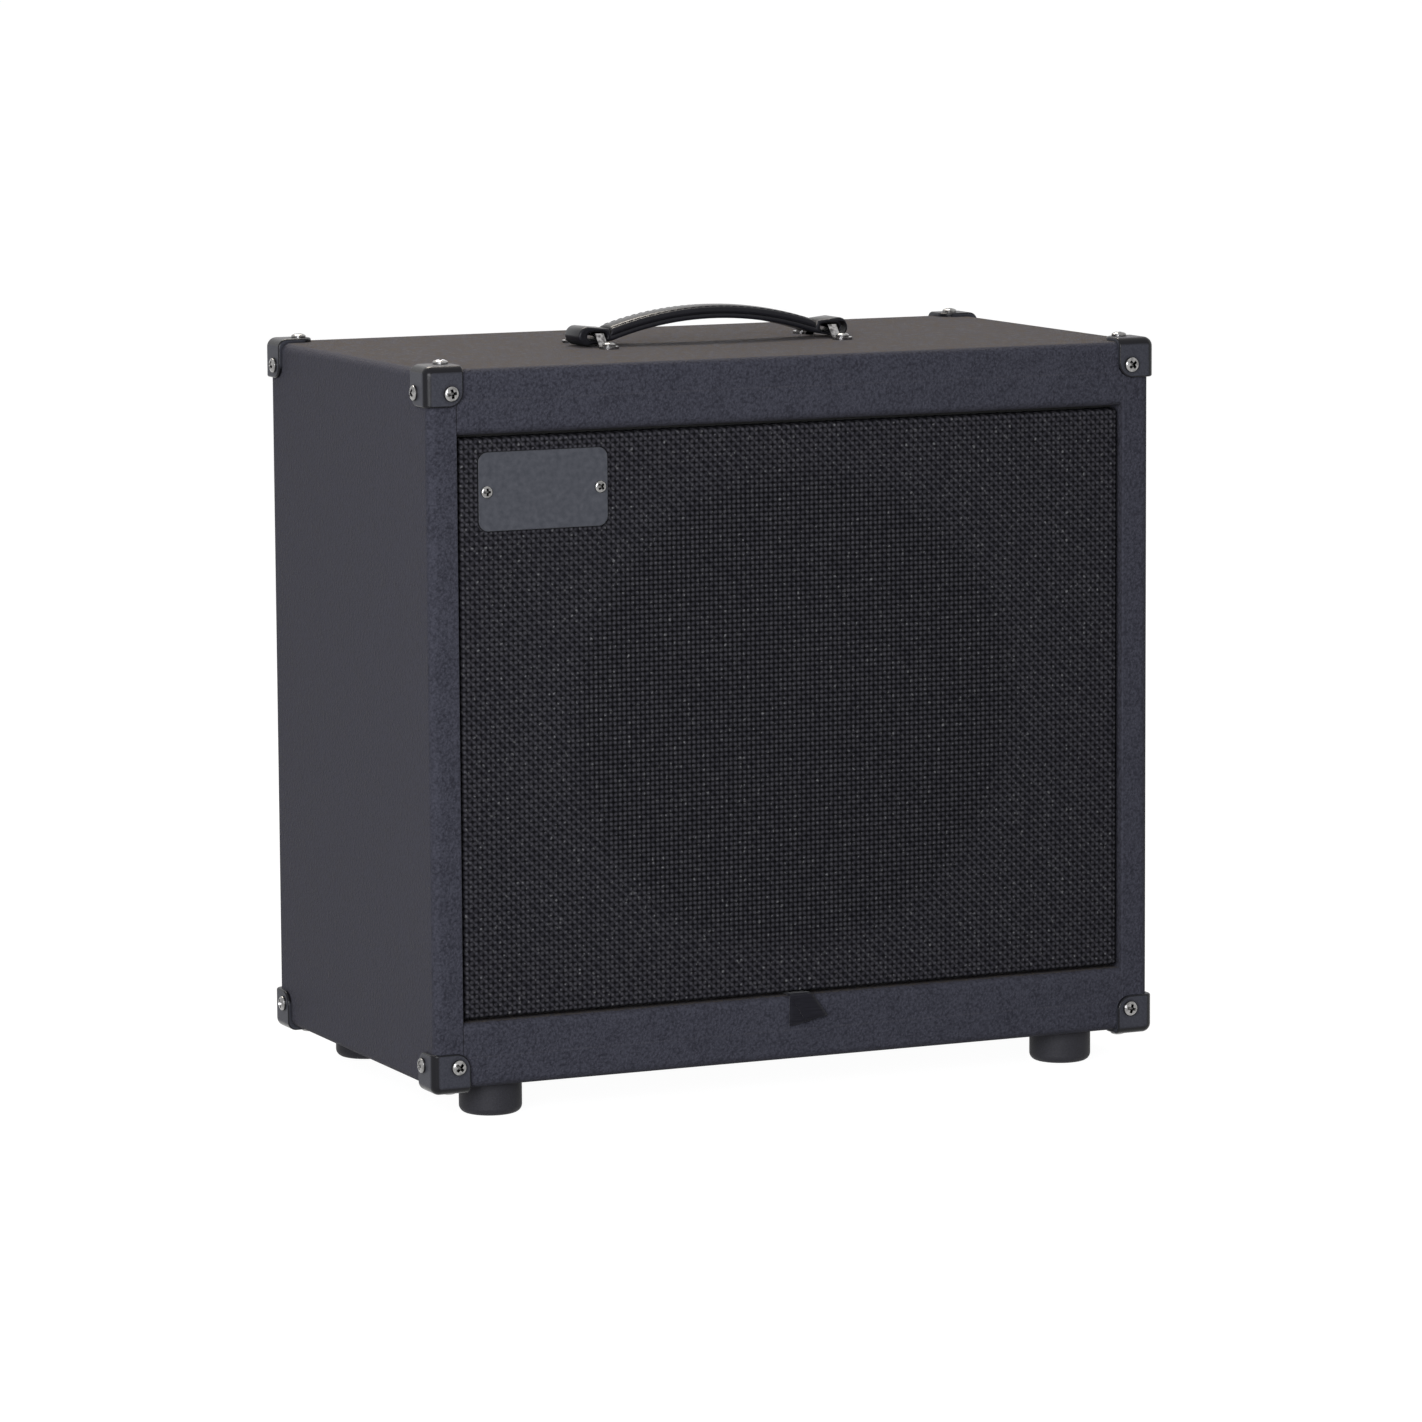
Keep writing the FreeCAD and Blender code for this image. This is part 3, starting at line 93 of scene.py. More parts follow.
class Look:
    """A procedural material: a Principled shader and the nodes that feed it."""

    def __init__(self, name, colour, roughness, specular=PLAIN_SPECULAR, metallic=0, sheen=0):
        self.material = bpy.data.materials.new(name)
        self.material.use_nodes = True
        self.tree = self.material.node_tree
        self.shader = self.tree.nodes["Principled BSDF"]
        self.give("Base Color", (*colour, 1))
        self.give("Roughness", roughness)
        self.give("Specular IOR Level", specular)
        self.give("Metallic", metallic)
        self.give("Sheen Weight", sheen)
        self.place = self.node("TexCoord").outputs["Object"]

    def node(self, kind, inputs=None, **settings):
        made = self.tree.nodes.new("ShaderNode" + kind)
        for name, value in settings.items():
            setattr(made, name, value)
        for key, value in (inputs or {}).items():
            self.link(value, made.inputs[key])
        return made

    def link(self, value, socket):
        if isinstance(value, bpy.types.NodeSocket):
            self.tree.links.new(value, socket)
        else:
            socket.default_value = value

    def give(self, socket, value):
        self.link(value, self.shader.inputs[socket])

    def calc(self, operation, *values):
        return self.node("Math", dict(enumerate(values)), operation=operation).outputs[0]

    def hypotenuse(self, first, second):
        squares = [self.calc("MULTIPLY", side, side) for side in (first, second)]
        return self.calc("SQRT", self.calc("ADD", *squares))

    def counted(self, size, stretch=EVEN):
        """The place on the object, counted in lengths of this size."""
        scale = [share / size for share in stretch]
        return self.node("Mapping", {"Vector": self.place, "Scale": scale}).outputs[0]

    def noise(self, size, detail=PLAIN_DETAIL, stretch=EVEN):
        inputs = {"Vector": self.counted(size, stretch), "Scale": 1, "Detail": detail}
        return self.node("TexNoise", inputs).outputs[0]

    def cells(self, size):
        inputs = {"Vector": self.counted(size), "Scale": 1}
        return self.node("TexVoronoi", inputs, feature="SMOOTH_F1").outputs["Distance"]

    def ramp(self, value, span, result=(0, 1)):
        """A result that goes from its first to its second number while the value crosses the span."""
        inputs = {"Value": value, "From Min": span[0], "From Max": span[1]}
        inputs.update({"To Min": result[0], "To Max": result[1]})
        return self.node("MapRange", inputs).outputs[0]

    def mix(self, share, first, second):
        colours = [one if isinstance(one, bpy.types.NodeSocket) else (*one, 1) for one in (first, second)]
        inputs = {MIX_FACTOR: share, MIX_FIRST: colours[0], MIX_SECOND: colours[1]}
        return self.node("Mix", inputs, data_type="RGBA").outputs[MIX_RESULT]

    def bump(self, height, depth):
        made = self.node("Bump", {"Height": height, "Distance": depth, "Strength": 1})
        self.give("Normal", made.outputs[0])

    def mottled(self, dark, light, grain, depth, stretch=EVEN):
        """A tone that follows one noise, as the surface does."""
        height = self.noise(grain, FINE_DETAIL, stretch)
        self.bump(height, depth)
        return self.mix(self.ramp(height, NOISE_SPAN), dark, light)

    def edges(self, radius):
        """How near a sharp edge is: 0 on flat ground, 1 on the edge."""
        softened = self.node("Bevel", {"Radius": radius}, samples=EDGE_SAMPLES).outputs[0]
        true = self.node("NewGeometry").outputs["True Normal"]
        agree = self.node("VectorMath", {0: softened, 1: true}, operation="DOT_PRODUCT").outputs["Value"]
        return self.ramp(agree, EDGE_SPAN)

    def facing(self, axis):
        """How far the surface looks along an axis: 1 along it, 0 across it."""
        normal = self.node("NewGeometry").outputs["Normal"]
        return self.node("SeparateXYZ", {"Vector": normal}).outputs[axis]

    def rolled(self):
        """Where the surface turns from one flat side to the next: 0 on the sides, 1 on the roll between."""
        square_on = self.calc("ABSOLUTE", self.facing(X))
        for axis in (Y, Z):
            square_on = self.calc("MAXIMUM", square_on, self.calc("ABSOLUTE", self.facing(axis)))
        return self.ramp(square_on, ROLL_SPAN)

    def sheltered(self, reach):
        """How much a place is shut in by what stands round it: 0 in the open, 1 deep in a recess."""
        made = self.node("AmbientOcclusion", {"Distance": reach}, samples=SHELTER_SAMPLES)
        return self.ramp(made.outputs["AO"], SHELTER_SPAN)


VINYL_SPECULAR = 0.04
VINYL_SHEEN = 0.025
VINYL_SHEEN_ROUGHNESS = 0.5
VINYL_ROUGHNESSES = (0.8, 0.45)
VINYL_HEIGHT_SPAN = (0.6, 1.15)
VINYL_EDGE = 1.2 * MM
VINYL_RUB_SPAN = (0.35, 0.7)
VINYL_RUB_SHARES = (0.15, 0.8)
PEBBLE_SHARE = 0.8
WRINKLE_SIZE_SHARE = 0.55
CLOUD_SIZE_SHARE = 8
CLOUD_RISE = (-0.07, 0.07)
RUB_SIZE_SHARE = 5
DUST_AND_LIGHT_SIZE_SHARE = 1.6
DUST_AND_LIGHT_STRETCH = (1, 0.5, 1)
DUST_AND_LIGHT_SPAN = (0.38, 0.62)
DUST_AND_LIGHT_SHARES = (0, 0.7)
DUST_ROUGHNESS = 0.35
LEVEL_SPAN = (0.95, 0.995)


def vinyl(name, dark, light, worn, dust_and_top_light, haze, grain, depth):
    """Pebbled vinyl: rounded cells broken up by finer wrinkles, rubbed paler along its edges, paler and
    warmer in streaks on top with dust and painted top light, with a warm haze where it is seen along the
    surface."""
    look = Look(name, dark, VINYL_ROUGHNESSES[0], VINYL_SPECULAR, sheen=VINYL_SHEEN)
    look.give("Sheen Roughness", VINYL_SHEEN_ROUGHNESS)
    look.give("Sheen Tint", (*haze, 1))
    wrinkles = look.noise(grain * WRINKLE_SIZE_SHARE, FINE_DETAIL)
    height = look.calc("ADD", look.calc("MULTIPLY", look.cells(grain), PEBBLE_SHARE), wrinkles)
    look.bump(height, depth)
    clouds = look.ramp(look.noise(grain * CLOUD_SIZE_SHARE, FINE_DETAIL), NOISE_SPAN, CLOUD_RISE)
    handled = look.calc("ADD", height, clouds)
    tone = look.mix(look.ramp(handled, VINYL_HEIGHT_SPAN), light, dark)
    patches = look.ramp(look.noise(grain * RUB_SIZE_SHARE, FINE_DETAIL), VINYL_RUB_SPAN, VINYL_RUB_SHARES)
    tone = look.mix(look.calc("MULTIPLY", look.edges(VINYL_EDGE), patches), tone, worn)
    streaks = look.noise(grain * DUST_AND_LIGHT_SIZE_SHARE, FINE_DETAIL, DUST_AND_LIGHT_STRETCH)
    streaks = look.ramp(streaks, DUST_AND_LIGHT_SPAN, DUST_AND_LIGHT_SHARES)
    # Dust and painted warm top light: level tops are paler and warmer in streaks
    settled_and_lit = look.calc("MULTIPLY", look.ramp(look.facing(Z), LEVEL_SPAN), streaks)
    look.give("Base Color", look.mix(settled_and_lit, tone, dust_and_top_light))
    smooth = look.ramp(handled, VINYL_HEIGHT_SPAN, VINYL_ROUGHNESSES)
    look.give("Roughness", look.calc("ADD", smooth, look.calc("MULTIPLY", settled_and_lit, DUST_ROUGHNESS)))
    return look.material


def grained(name, dark, light, roughness, grain, depth, stretch=EVEN, **finish):
    """A material whose tone and surface follow one noise."""
    look = Look(name, dark, roughness, **finish)
    look.give("Base Color", look.mottled(dark, light, grain, depth, stretch))
    return look.material


HIDE_EDGE = 1.5 * MM
HIDE_FOLD = 5 * MM
HIDE_FOLD_SPAN = (0.1, 0.6)
HIDE_RUB_SIZE_SHARE = 6
RUB_SPAN = (0.35, 0.65)
HIDE_RUB_SHARES = (0.3, 0.9)


def hide(name, dark, light, worn, roughness, grain, depth, specular):
    """Grained hide, rubbed paler along its edges, dull in its folds and darkened there with painted shade."""
    look = Look(name, dark, roughness, specular)
    tone = look.mottled(dark, light, grain, depth)
    patches = look.ramp(look.noise(grain * HIDE_RUB_SIZE_SHARE), RUB_SPAN, HIDE_RUB_SHARES)
    tone = look.mix(look.calc("MULTIPLY", look.edges(HIDE_EDGE), patches), tone, worn)
    folded = look.sheltered(HIDE_FOLD)
    look.give("Roughness", look.ramp(folded, HIDE_FOLD_SPAN, (roughness, 1)))
    # Painted shade: the folds are darkened towards black by how shut in they are
    look.give("Base Color", look.mix(folded, tone, SHADE_BLACK))
    return look.material


PLATE_EDGE = 1.3 * MM
PLATE_WALL_SPAN = (0.97, 0.7)


def satin_plate(name, dark, light, wall_shade, roughness, grain, depth, specular):
    """A thin satin plate, mottled on its face, with painted shade on the walls round it and along their edge.
    """
    look = Look(name, dark, roughness, specular)
    tone = look.mottled(dark, light, grain, depth)
    on_wall = look.ramp(look.calc("ABSOLUTE", look.facing(Y)), PLATE_WALL_SPAN)
    # Painted shade: the walls and the edge round the face are darkened
    look.give("Base Color", look.mix(look.calc("MAXIMUM", on_wall, look.edges(PLATE_EDGE)), tone, wall_shade))
    return look.material


MOULDED_EDGE = 0.8 * MM
MOULDED_RECESS = 2.5 * MM
MOULDED_RUB_SIZE_SHARE = 7
MOULDED_RUB_SHARES = (0.2, 0.9)
POLISH_SHARE = 0.5


def moulded(name, dark, light, roll_shade, worn, roughness, grain, depth, specular):
    """Moulded plastic with a fine grain, glossier on its rolls, with painted shade darkening the rolls and
    its recesses, and scuffed on its edges.
    """
    look = Look(name, dark, roughness, specular)
    tone = look.mottled(dark, light, grain, depth)
    # Painted shade: the rolls between the flat sides are darkened
    tone = look.mix(look.rolled(), tone, roll_shade)
    look.give("Roughness", look.ramp(look.rolled(), (0, 1), (roughness, roughness * POLISH_SHARE)))
    patches = look.ramp(look.noise(grain * MOULDED_RUB_SIZE_SHARE), RUB_SPAN, MOULDED_RUB_SHARES)
    tone = look.mix(look.calc("MULTIPLY", look.edges(MOULDED_EDGE), patches), tone, worn)
    # Painted shade: recesses, such as round the screw heads, are darkened
    look.give("Base Color", look.mix(look.sheltered(MOULDED_RECESS), tone, SHADE_BLACK))
    return look.material


PLATING_GRAIN = 1.5 * MM
PLATING_DEPTH = 0.012 * MM
PLATING_ROUGHNESS_SHARES = (0.8, 1.4)
GRIME_PATCH = 2.5 * MM
GRIME_SPAN = (0.4, 0.62)


def plated(name, bright, grime_and_shade, roughness, reach, soiled_share):
    """Bright plating with painted shade in its recesses and round its foot, and patches of dark grime
    elsewhere.
    """
    look = Look(name, bright, roughness, metallic=1)
    uneven = look.noise(PLATING_GRAIN, FINE_DETAIL)
    look.bump(uneven, PLATING_DEPTH)
    patches = look.ramp(look.noise(GRIME_PATCH), GRIME_SPAN, (0, soiled_share))
    # Painted shade in recesses and round the foot, and patches of real grime, both in one dark colour
    look.give("Base Color", look.mix(look.calc("MAXIMUM", look.sheltered(reach), patches), bright, grime_and_shade))
    roughnesses = [roughness * share for share in PLATING_ROUGHNESS_SHARES]
    look.give("Roughness", look.ramp(uneven, NOISE_SPAN, roughnesses))
    return look.material


WEAVE_PITCH = (2.95 * MM, 2.8 * MM)
CLOTH_THREAD = (0.023, 0.0225, 0.0275)
# The threads on top, painted lighter as if lit
CLOTH_THREAD_OVER_LIT = (0.056, 0.0545, 0.0645)
CLOTH_THREAD_LIGHT = (0.081, 0.079, 0.088)
CLOTH_GLINT = (0.16, 0.16, 0.165)
# Gap colours: painted shade of the hollow behind the hole, and the board seen through elsewhere
CLOTH_GAP_HOLE_SHADE = (0.003, 0.003, 0.0035)
CLOTH_GAP_BACKED = (0.005, 0.005, 0.006)
CLOTH_ROUGHNESS = 0.8
CLOTH_SPECULAR = 0.03
HOLE_BLUR = 9 * MM
CELL_MIDDLE_SHARE = 0.5
COUNTER_SHARES = (0.66, 0.32)
RIB_SHARES = (0.12, 0.45)
OVER_SPAN = (-0.9, 1)
RIB_SPAN = (0.1, 1)
BEAD_SPAN = (0.52, 0.12)
UNEVEN_SIZE_SHARE = 1.7
UNEVEN_SPAN = (0.35, 0.7)
UNEVEN_SHARES = (0, 0.6)
GLINT_SIZE_SHARE = 0.8
GLINT_DETAIL = 1
GLINT_SPAN = (0.64, 0.76)
FIBRE_SIZE_SHARE = 0.2
FIBRE_DEPTH = 0.2 * MM


def weave(name, pitch, hole_middle, hole_radius):
    """Plain weave: beads at the crossings, the threads on top painted lighter as if lit, and dark gaps,
    with painted shade where the hole is behind. Where a board is behind, slanting ribs show too.
    """
    look = Look(name, CLOTH_THREAD, CLOTH_ROUGHNESS, CLOTH_SPECULAR)
    sideways, _, upward = look.node("SeparateXYZ", {"Vector": look.place}).outputs
    height = look.calc("SUBTRACT", upward, hole_middle.z)
    columns = look.calc("DIVIDE", sideways, pitch[0])
    rows = look.calc("DIVIDE", height, pitch[1])
    reach = look.hypotenuse(sideways, height)
    backed = look.ramp(reach, (hole_radius - HOLE_BLUR, hole_radius + HOLE_BLUR))
    rib, counter = [
        look.calc("COSINE", look.calc("MULTIPLY", look.calc(operation, columns, rows), math.pi))
        for operation in ("ADD", "SUBTRACT")
    ]
    counter = look.calc("MULTIPLY", counter, look.ramp(backed, (0, 1), COUNTER_SHARES))
    over = look.ramp(look.calc("ADD", rib, counter), OVER_SPAN)
    across, along = [
        look.calc("ABSOLUTE", look.calc("SUBTRACT", look.calc("FRACT", count), CELL_MIDDLE_SHARE))
        for count in (columns, rows)
    ]
    ribbed = look.calc("MULTIPLY", look.ramp(rib, RIB_SPAN), look.ramp(backed, (0, 1), RIB_SHARES))
    bead = look.calc("MAXIMUM", look.ramp(look.hypotenuse(across, along), BEAD_SPAN), ribbed)
    # Painted shade: the gaps are darker where the hole is behind
    gap = look.mix(backed, CLOTH_GAP_HOLE_SHADE, CLOTH_GAP_BACKED)
    # Painted light: the threads on top are lighter than those under them
    thread = look.mix(over, CLOTH_THREAD, CLOTH_THREAD_OVER_LIT)
    uneven = look.ramp(look.noise(pitch[0] * UNEVEN_SIZE_SHARE), UNEVEN_SPAN, UNEVEN_SHARES)
    thread = look.mix(uneven, thread, CLOTH_THREAD_LIGHT)
    glints = look.ramp(look.noise(pitch[0] * GLINT_SIZE_SHARE, GLINT_DETAIL), GLINT_SPAN)
    thread = look.mix(glints, thread, CLOTH_GLINT)
    look.give("Base Color", look.mix(bead, gap, thread))
    look.bump(look.calc("ADD", bead, look.noise(pitch[0] * FIBRE_SIZE_SHARE)), FIBRE_DEPTH)
    return look.material


GASKET_LAP = 13 * MM
hole_low, hole_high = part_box("speaker_gasket")
speaker_middle = (hole_low + hole_high) / 2
hole_radius = (hole_high.x - hole_low.x) / 2 - GASKET_LAP

materials = {
    "covered_board": vinyl(
        "vinyl_covering", dark=(0.0275, 0.0278, 0.037), light=(0.0585, 0.0595, 0.0765),
        # The colour given for dust on the next line is dust and painted warm top light
        worn=(0.075, 0.073, 0.085), dust_and_top_light=(0.085, 0.071, 0.058), haze=(1, 0.87, 0.74),
        grain=1.65 * MM, depth=0.5 * MM),
    "black_board": grained(
        "black_painted_board", dark=(0.012, 0.012, 0.012), light=(0.02, 0.02, 0.02), roughness=0.6,
        grain=3 * MM, depth=0.1 * MM, stretch=(0.15, 1, 1)),
    "grille_weave": weave("grille_weave", WEAVE_PITCH, speaker_middle, hole_radius),
    "hook_and_loop": grained(
        "hook_and_loop", dark=(0.01, 0.01, 0.01), light=(0.03, 0.03, 0.03), roughness=0.9,
        grain=0.6 * MM, depth=0.3 * MM),
    "ribbon": grained(
        "ribbon", dark=(0.006, 0.0058, 0.0088), light=(0.013, 0.0126, 0.0175), roughness=0.7,
        grain=0.7 * MM, depth=0.12 * MM, stretch=(0.05, 1, 1), specular=0.08, sheen=0.12),
    "badge_satin": satin_plate(
        # The last colour on the next line is painted shade for the walls and edge
        "badge_satin", dark=(0.043, 0.046, 0.056), light=(0.068, 0.071, 0.083), wall_shade=(0.006, 0.006, 0.007),
        roughness=0.42, grain=3.5 * MM, depth=0.03 * MM, specular=0.25),
    "bright_screws": plated(
        # The dark colour on this line is painted shade in recesses and real grime in patches
        "bright_screws", bright=(0.34, 0.335, 0.33), grime_and_shade=(0.006, 0.006, 0.006), roughness=0.16,
        reach=3 * MM, soiled_share=0.4),
    "dark_screws": grained(
        "dark_screws", dark=(0.03, 0.03, 0.032), light=(0.06, 0.06, 0.063), roughness=0.35,
        grain=2 * MM, depth=0.02 * MM, metallic=0.7),
    "corner_plastic": moulded(
        "corner_plastic", dark=(0.03, 0.031, 0.04), light=(0.051, 0.053, 0.065),
        # The first colour on the next line is painted shade for the rolls
        roll_shade=(0.008, 0.008, 0.01), worn=(0.14, 0.14, 0.155), roughness=0.46,
        grain=0.9 * MM, depth=0.04 * MM, specular=0.16),
    "jack_plastic": grained(
        "jack_plastic", dark=(0.014, 0.014, 0.015), light=(0.02, 0.02, 0.021), roughness=0.4,
        grain=0.6 * MM, depth=0.04 * MM),
    "foot_rubber": grained(
        "foot_rubber", dark=(0.0185, 0.0182, 0.0222), light=(0.0295, 0.029, 0.0345), roughness=0.6,
        grain=0.9 * MM, depth=0.06 * MM, specular=0.2),
    "handle_hide": hide(
        "handle_hide", dark=(0.005, 0.0049, 0.0068), light=(0.0105, 0.0103, 0.0138), worn=(0.05, 0.05, 0.058),
        roughness=0.28, grain=0.8 * MM, depth=0.05 * MM, specular=0.16),
    "basket_paint": grained(
        "basket_paint", dark=(0.015, 0.015, 0.016), light=(0.024, 0.024, 0.026), roughness=0.35,
        grain=1 * MM, depth=0.03 * MM),
    "cone_paper": grained(
        "cone_paper", dark=(0.018, 0.017, 0.016), light=(0.034, 0.032, 0.03), roughness=0.85,
        grain=1.5 * MM, depth=0.1 * MM),
    "treated_cloth": grained(
        "treated_cloth", dark=(0.02, 0.017, 0.013), light=(0.035, 0.03, 0.022), roughness=0.6,
        grain=1 * MM, depth=0.08 * MM),
    "coil_former": grained(
        "coil_former", dark=(0.25, 0.12, 0.04), light=(0.35, 0.18, 0.06), roughness=0.4,
        grain=1 * MM, depth=0.01 * MM),
    "coil_wire": grained(
        "coil_wire", dark=(0.35, 0.12, 0.05), light=(0.5, 0.2, 0.08), roughness=0.3,
        grain=0.4 * MM, depth=0.05 * MM, stretch=(0.1, 1, 0.1), metallic=0.9),
    "magnet_steel": grained(
        "magnet_steel", dark=(0.35, 0.34, 0.3), light=(0.5, 0.48, 0.42), roughness=0.35,
        grain=2 * MM, depth=0.02 * MM, metallic=1),
    "magnet_ferrite": grained(
        "magnet_ferrite", dark=(0.03, 0.03, 0.03), light=(0.05, 0.05, 0.05), roughness=0.7,
        grain=1.2 * MM, depth=0.06 * MM),
}
bracket_plating = plated(
    # The dark colour on this line is painted shade in recesses and real grime in patches
    "bracket_plating", bright=(0.4, 0.39, 0.39), grime_and_shade=(0.01, 0.01, 0.01), roughness=0.2,
    reach=7 * MM, soiled_share=0.75)
own_looks = {"handle_bracket_left": bracket_plating, "handle_bracket_right": bracket_plating}

for node_name, item in nodes.items():
    item.data.materials.clear()
    item.data.materials.append(own_looks.get(node_name, materials[slot_of[node_name]]))


# Helpers for the pieces

WELD = 0.01 * MM


def piece(name, mesh, like, body, replaced=(), smooth=True):
    """Show a mesh with the look of a slot. It moves with a body, if one is named, and stands in for nodes."""
    item = bpy.data.objects.new(name, mesh)
    bpy.context.scene.collection.objects.link(item)
    mesh.materials.append(materials[like])
    for polygon in mesh.polygons:
        polygon.use_smooth = smooth
    if body:
        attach(item, body)
    if replaced:
        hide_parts(*replaced)
    return item


def mesh_of(name, points, faces):
    mesh = bpy.data.meshes.new(name)
    mesh.from_pydata([tuple(point) for point in points], [], faces)
    mesh.update()
    return mesh


def welded(name):
    """A node's mesh with its doubled points joined."""
    shape = bmesh.new()
    shape.from_mesh(nodes[name].data)
    bmesh.ops.remove_doubles(shape, verts=shape.verts, dist=WELD)
    return shape


def islands(name):
    """The separate solids of a node, each as a list of points, in the order of the node's own points."""
    shape = welded(name)
    waiting = dict.fromkeys(shape.verts)
    found = []
    while waiting:
        start = next(iter(waiting))
        del waiting[start]
        front = [start]
        island = [start]
        while front:
            for edge in front.pop().link_edges:
                for corner in edge.verts:
                    if corner in waiting:
                        del waiting[corner]
                        front.append(corner)
                        island.append(corner)
        found.append([corner.co.copy() for corner in island])
    shape.free()
    return found


def corners_of(points):
    low = Vector([min(point[axis] for point in points) for axis in (X, Y, Z)])
    high = Vector([max(point[axis] for point in points) for axis in (X, Y, Z)])
    return low, high


def grid_faces(across, along, ring=False):
    """Quads between rows of points, joined round into a ring where asked."""
    faces = []
    for j in range(along - 1):
        for i in range(across if ring else across - 1):
            right = (i + 1) % across
            faces.append((j * across + i, j * across + right, (j + 1) * across + right, (j + 1) * across + i))
    return faces


def grid_rim(across, along):
    """The points round the outside of rows of points, in order."""
    last = across * along - 1
    rim = list(range(across)) + [across * j + across - 1 for j in range(1, along)]
    return rim + [last - k for k in range(1, across)] + [across * j for j in range(along - 2, 0, -1)]


def shifted(faces, first):
    """Faces whose points are counted on from another first point."""
    return [tuple(first + k for k in face) for face in faces]


def thickened(rows, thickness):
    """The points and faces of a sheet through rows of points, as thick as asked."""
    across = len(rows[0])
    along = len(rows)
    middle = [point for row in rows for point in row]
    sheet = mesh_of("thin_sheet", middle, grid_faces(across, along))
    normals = [vertex.normal.copy() for vertex in sheet.vertices]
    bpy.data.meshes.remove(sheet)
    count = len(middle)
    points = [point + normal * thickness / 2 for point, normal in zip(middle, normals)]
    points += [point - normal * thickness / 2 for point, normal in zip(middle, normals)]
    faces = grid_faces(across, along)
    faces += shifted([tuple(reversed(face)) for face in grid_faces(across, along)], count)
    rim = grid_rim(across, along)
    for here, after in zip(rim, rim[1:] + rim[:1]):
        faces.append((after, here, count + here, count + after))
    return points, faces


# Cross-head screws, in place of the plain heads of the parts

DOME_STEPS = 7
HEAD_SIDES = 28
HEAD_RIM_SHARE = 0.42
CROSS_REACH_SHARE = 0.74
CROSS_WIDTH_SHARE = 0.23
CROSS_TOP_SHARE = 1.2
CROSS_DEPTH_SHARE = 0.85
CROSS_TAPER_SHARE = 0.5
RIM_FOUND_SHARE = 0.98
GOLDEN_TURN = math.radians(137.5)


def domed_head():
    """A domed head of radius 1 and height 1."""
    shape = bmesh.new()
    rings = []
    for step in range(1, DOME_STEPS + 1):
        angle = math.pi / 2 * step / DOME_STEPS
        rings.append((math.sin(angle), HEAD_RIM_SHARE + (1 - HEAD_RIM_SHARE) * math.cos(angle)))
    rings.append((1, 0))
    turns = [2 * math.pi * k / HEAD_SIDES for k in range(HEAD_SIDES)]
    top = shape.verts.new((0, 0, 1))
    loops = []
    for radius, height in rings:
        loops.append([
            shape.verts.new((radius * math.cos(turn), radius * math.sin(turn), height)) for turn in turns
        ])
    for k in range(HEAD_SIDES):
        after = (k + 1) % HEAD_SIDES
        shape.faces.new((top, loops[0][k], loops[0][after]))
        for upper, lower in zip(loops, loops[1:]):
            shape.faces.new((upper[k], lower[k], lower[after], upper[after]))
    shape.faces.new(list(reversed(loops[-1])))
    head = bpy.data.meshes.new("screw_head")
    shape.to_mesh(head)
    shape.free()
    return head


def tapered_cross():
    """Two crossed bars that narrow downward, made from cubes with their corners at -1 and 1."""
    shape = bmesh.new()
    for reach, width in ((CROSS_REACH_SHARE, CROSS_WIDTH_SHARE), (CROSS_WIDTH_SHARE, CROSS_REACH_SHARE)):
        for corner in bmesh.ops.create_cube(shape, size=2)["verts"]:
            upper = corner.co.z > 0
            taper = 1 if upper else CROSS_TAPER_SHARE
            corner.co.x *= reach * taper
            corner.co.y *= width * taper
            corner.co.z = CROSS_TOP_SHARE if upper else 1 - CROSS_DEPTH_SHARE
    cross = bpy.data.meshes.new("screw_cross")
    shape.to_mesh(cross)
    shape.free()
    return cross


def cross_head():
    """A domed head of radius 1 and height 1 with a tapered cross cut into it."""
    blank = bpy.data.objects.new("screw_blank", domed_head())
    tool = bpy.data.objects.new("screw_tool", tapered_cross())
    for item in (blank, tool):
        bpy.context.scene.collection.objects.link(item)
    cut = blank.modifiers.new("cross", "BOOLEAN")
    cut.operation = "DIFFERENCE"
    cut.object = tool
    cut.use_self = True
    made = bpy.data.meshes.new_from_object(blank.evaluated_get(bpy.context.evaluated_depsgraph_get()))
    for item in (blank, tool):
        bpy.data.objects.remove(item)
    return made


def screw_seat(points):
    """Where a screw's head sits: its underside, its outward direction, its radius and its height."""
    low, high = corners_of(points)
    middle = (low + high) / 2
    axis = max((X, Y, Z), key=lambda k: high[k] - low[k])

    def off_axis(point):
        away = point - middle
        away[axis] = 0
        return away.length

    radius = max(off_axis(point) for point in points)
    rim = [point[axis] for point in points if off_axis(point) > radius * RIM_FOUND_SHARE]
    outward = Vector((0, 0, 0))
    outward[axis] = 1 if sum(rim) / len(rim) > middle[axis] else -1
    under = middle.copy()
    under[axis] = min(rim) if outward[axis] > 0 else max(rim)
    end = high[axis] if outward[axis] > 0 else low[axis]
    return under, outward, radius, abs(end - under[axis])


def screws(node, body, head):
    """Cross-head screws in every place where a node has one, each turned its own way."""
    points = []
    faces = []
    for index, island in enumerate(islands(node)):
        under, outward, radius, height = screw_seat(island)
        turned = outward.to_track_quat("Z", "Y").to_matrix().to_4x4()
        spin = Matrix.Rotation(index * GOLDEN_TURN, 4, "Z")
        size = Matrix.Diagonal((radius, radius, height, 1))
        where = Matrix.Translation(under) @ turned @ spin @ size
        faces += shifted([polygon.vertices for polygon in head.polygons], len(points))
        points += [where @ corner.co for corner in head.vertices]
    name = node + "_heads"
    piece(name, mesh_of(name, points, faces), slot_of[node], body, [node], smooth=False)


head_mesh = cross_head()
for screw_node in ("corner_screws", "handle_screws", "back_panel_screws", "jack_dish_screws"):
    screws(screw_node, "cabinet", head_mesh)
screws("badge_screws", "grille", head_mesh)


# Grille cloth: a woven sheet drawn over the board, round its edges and onto its back

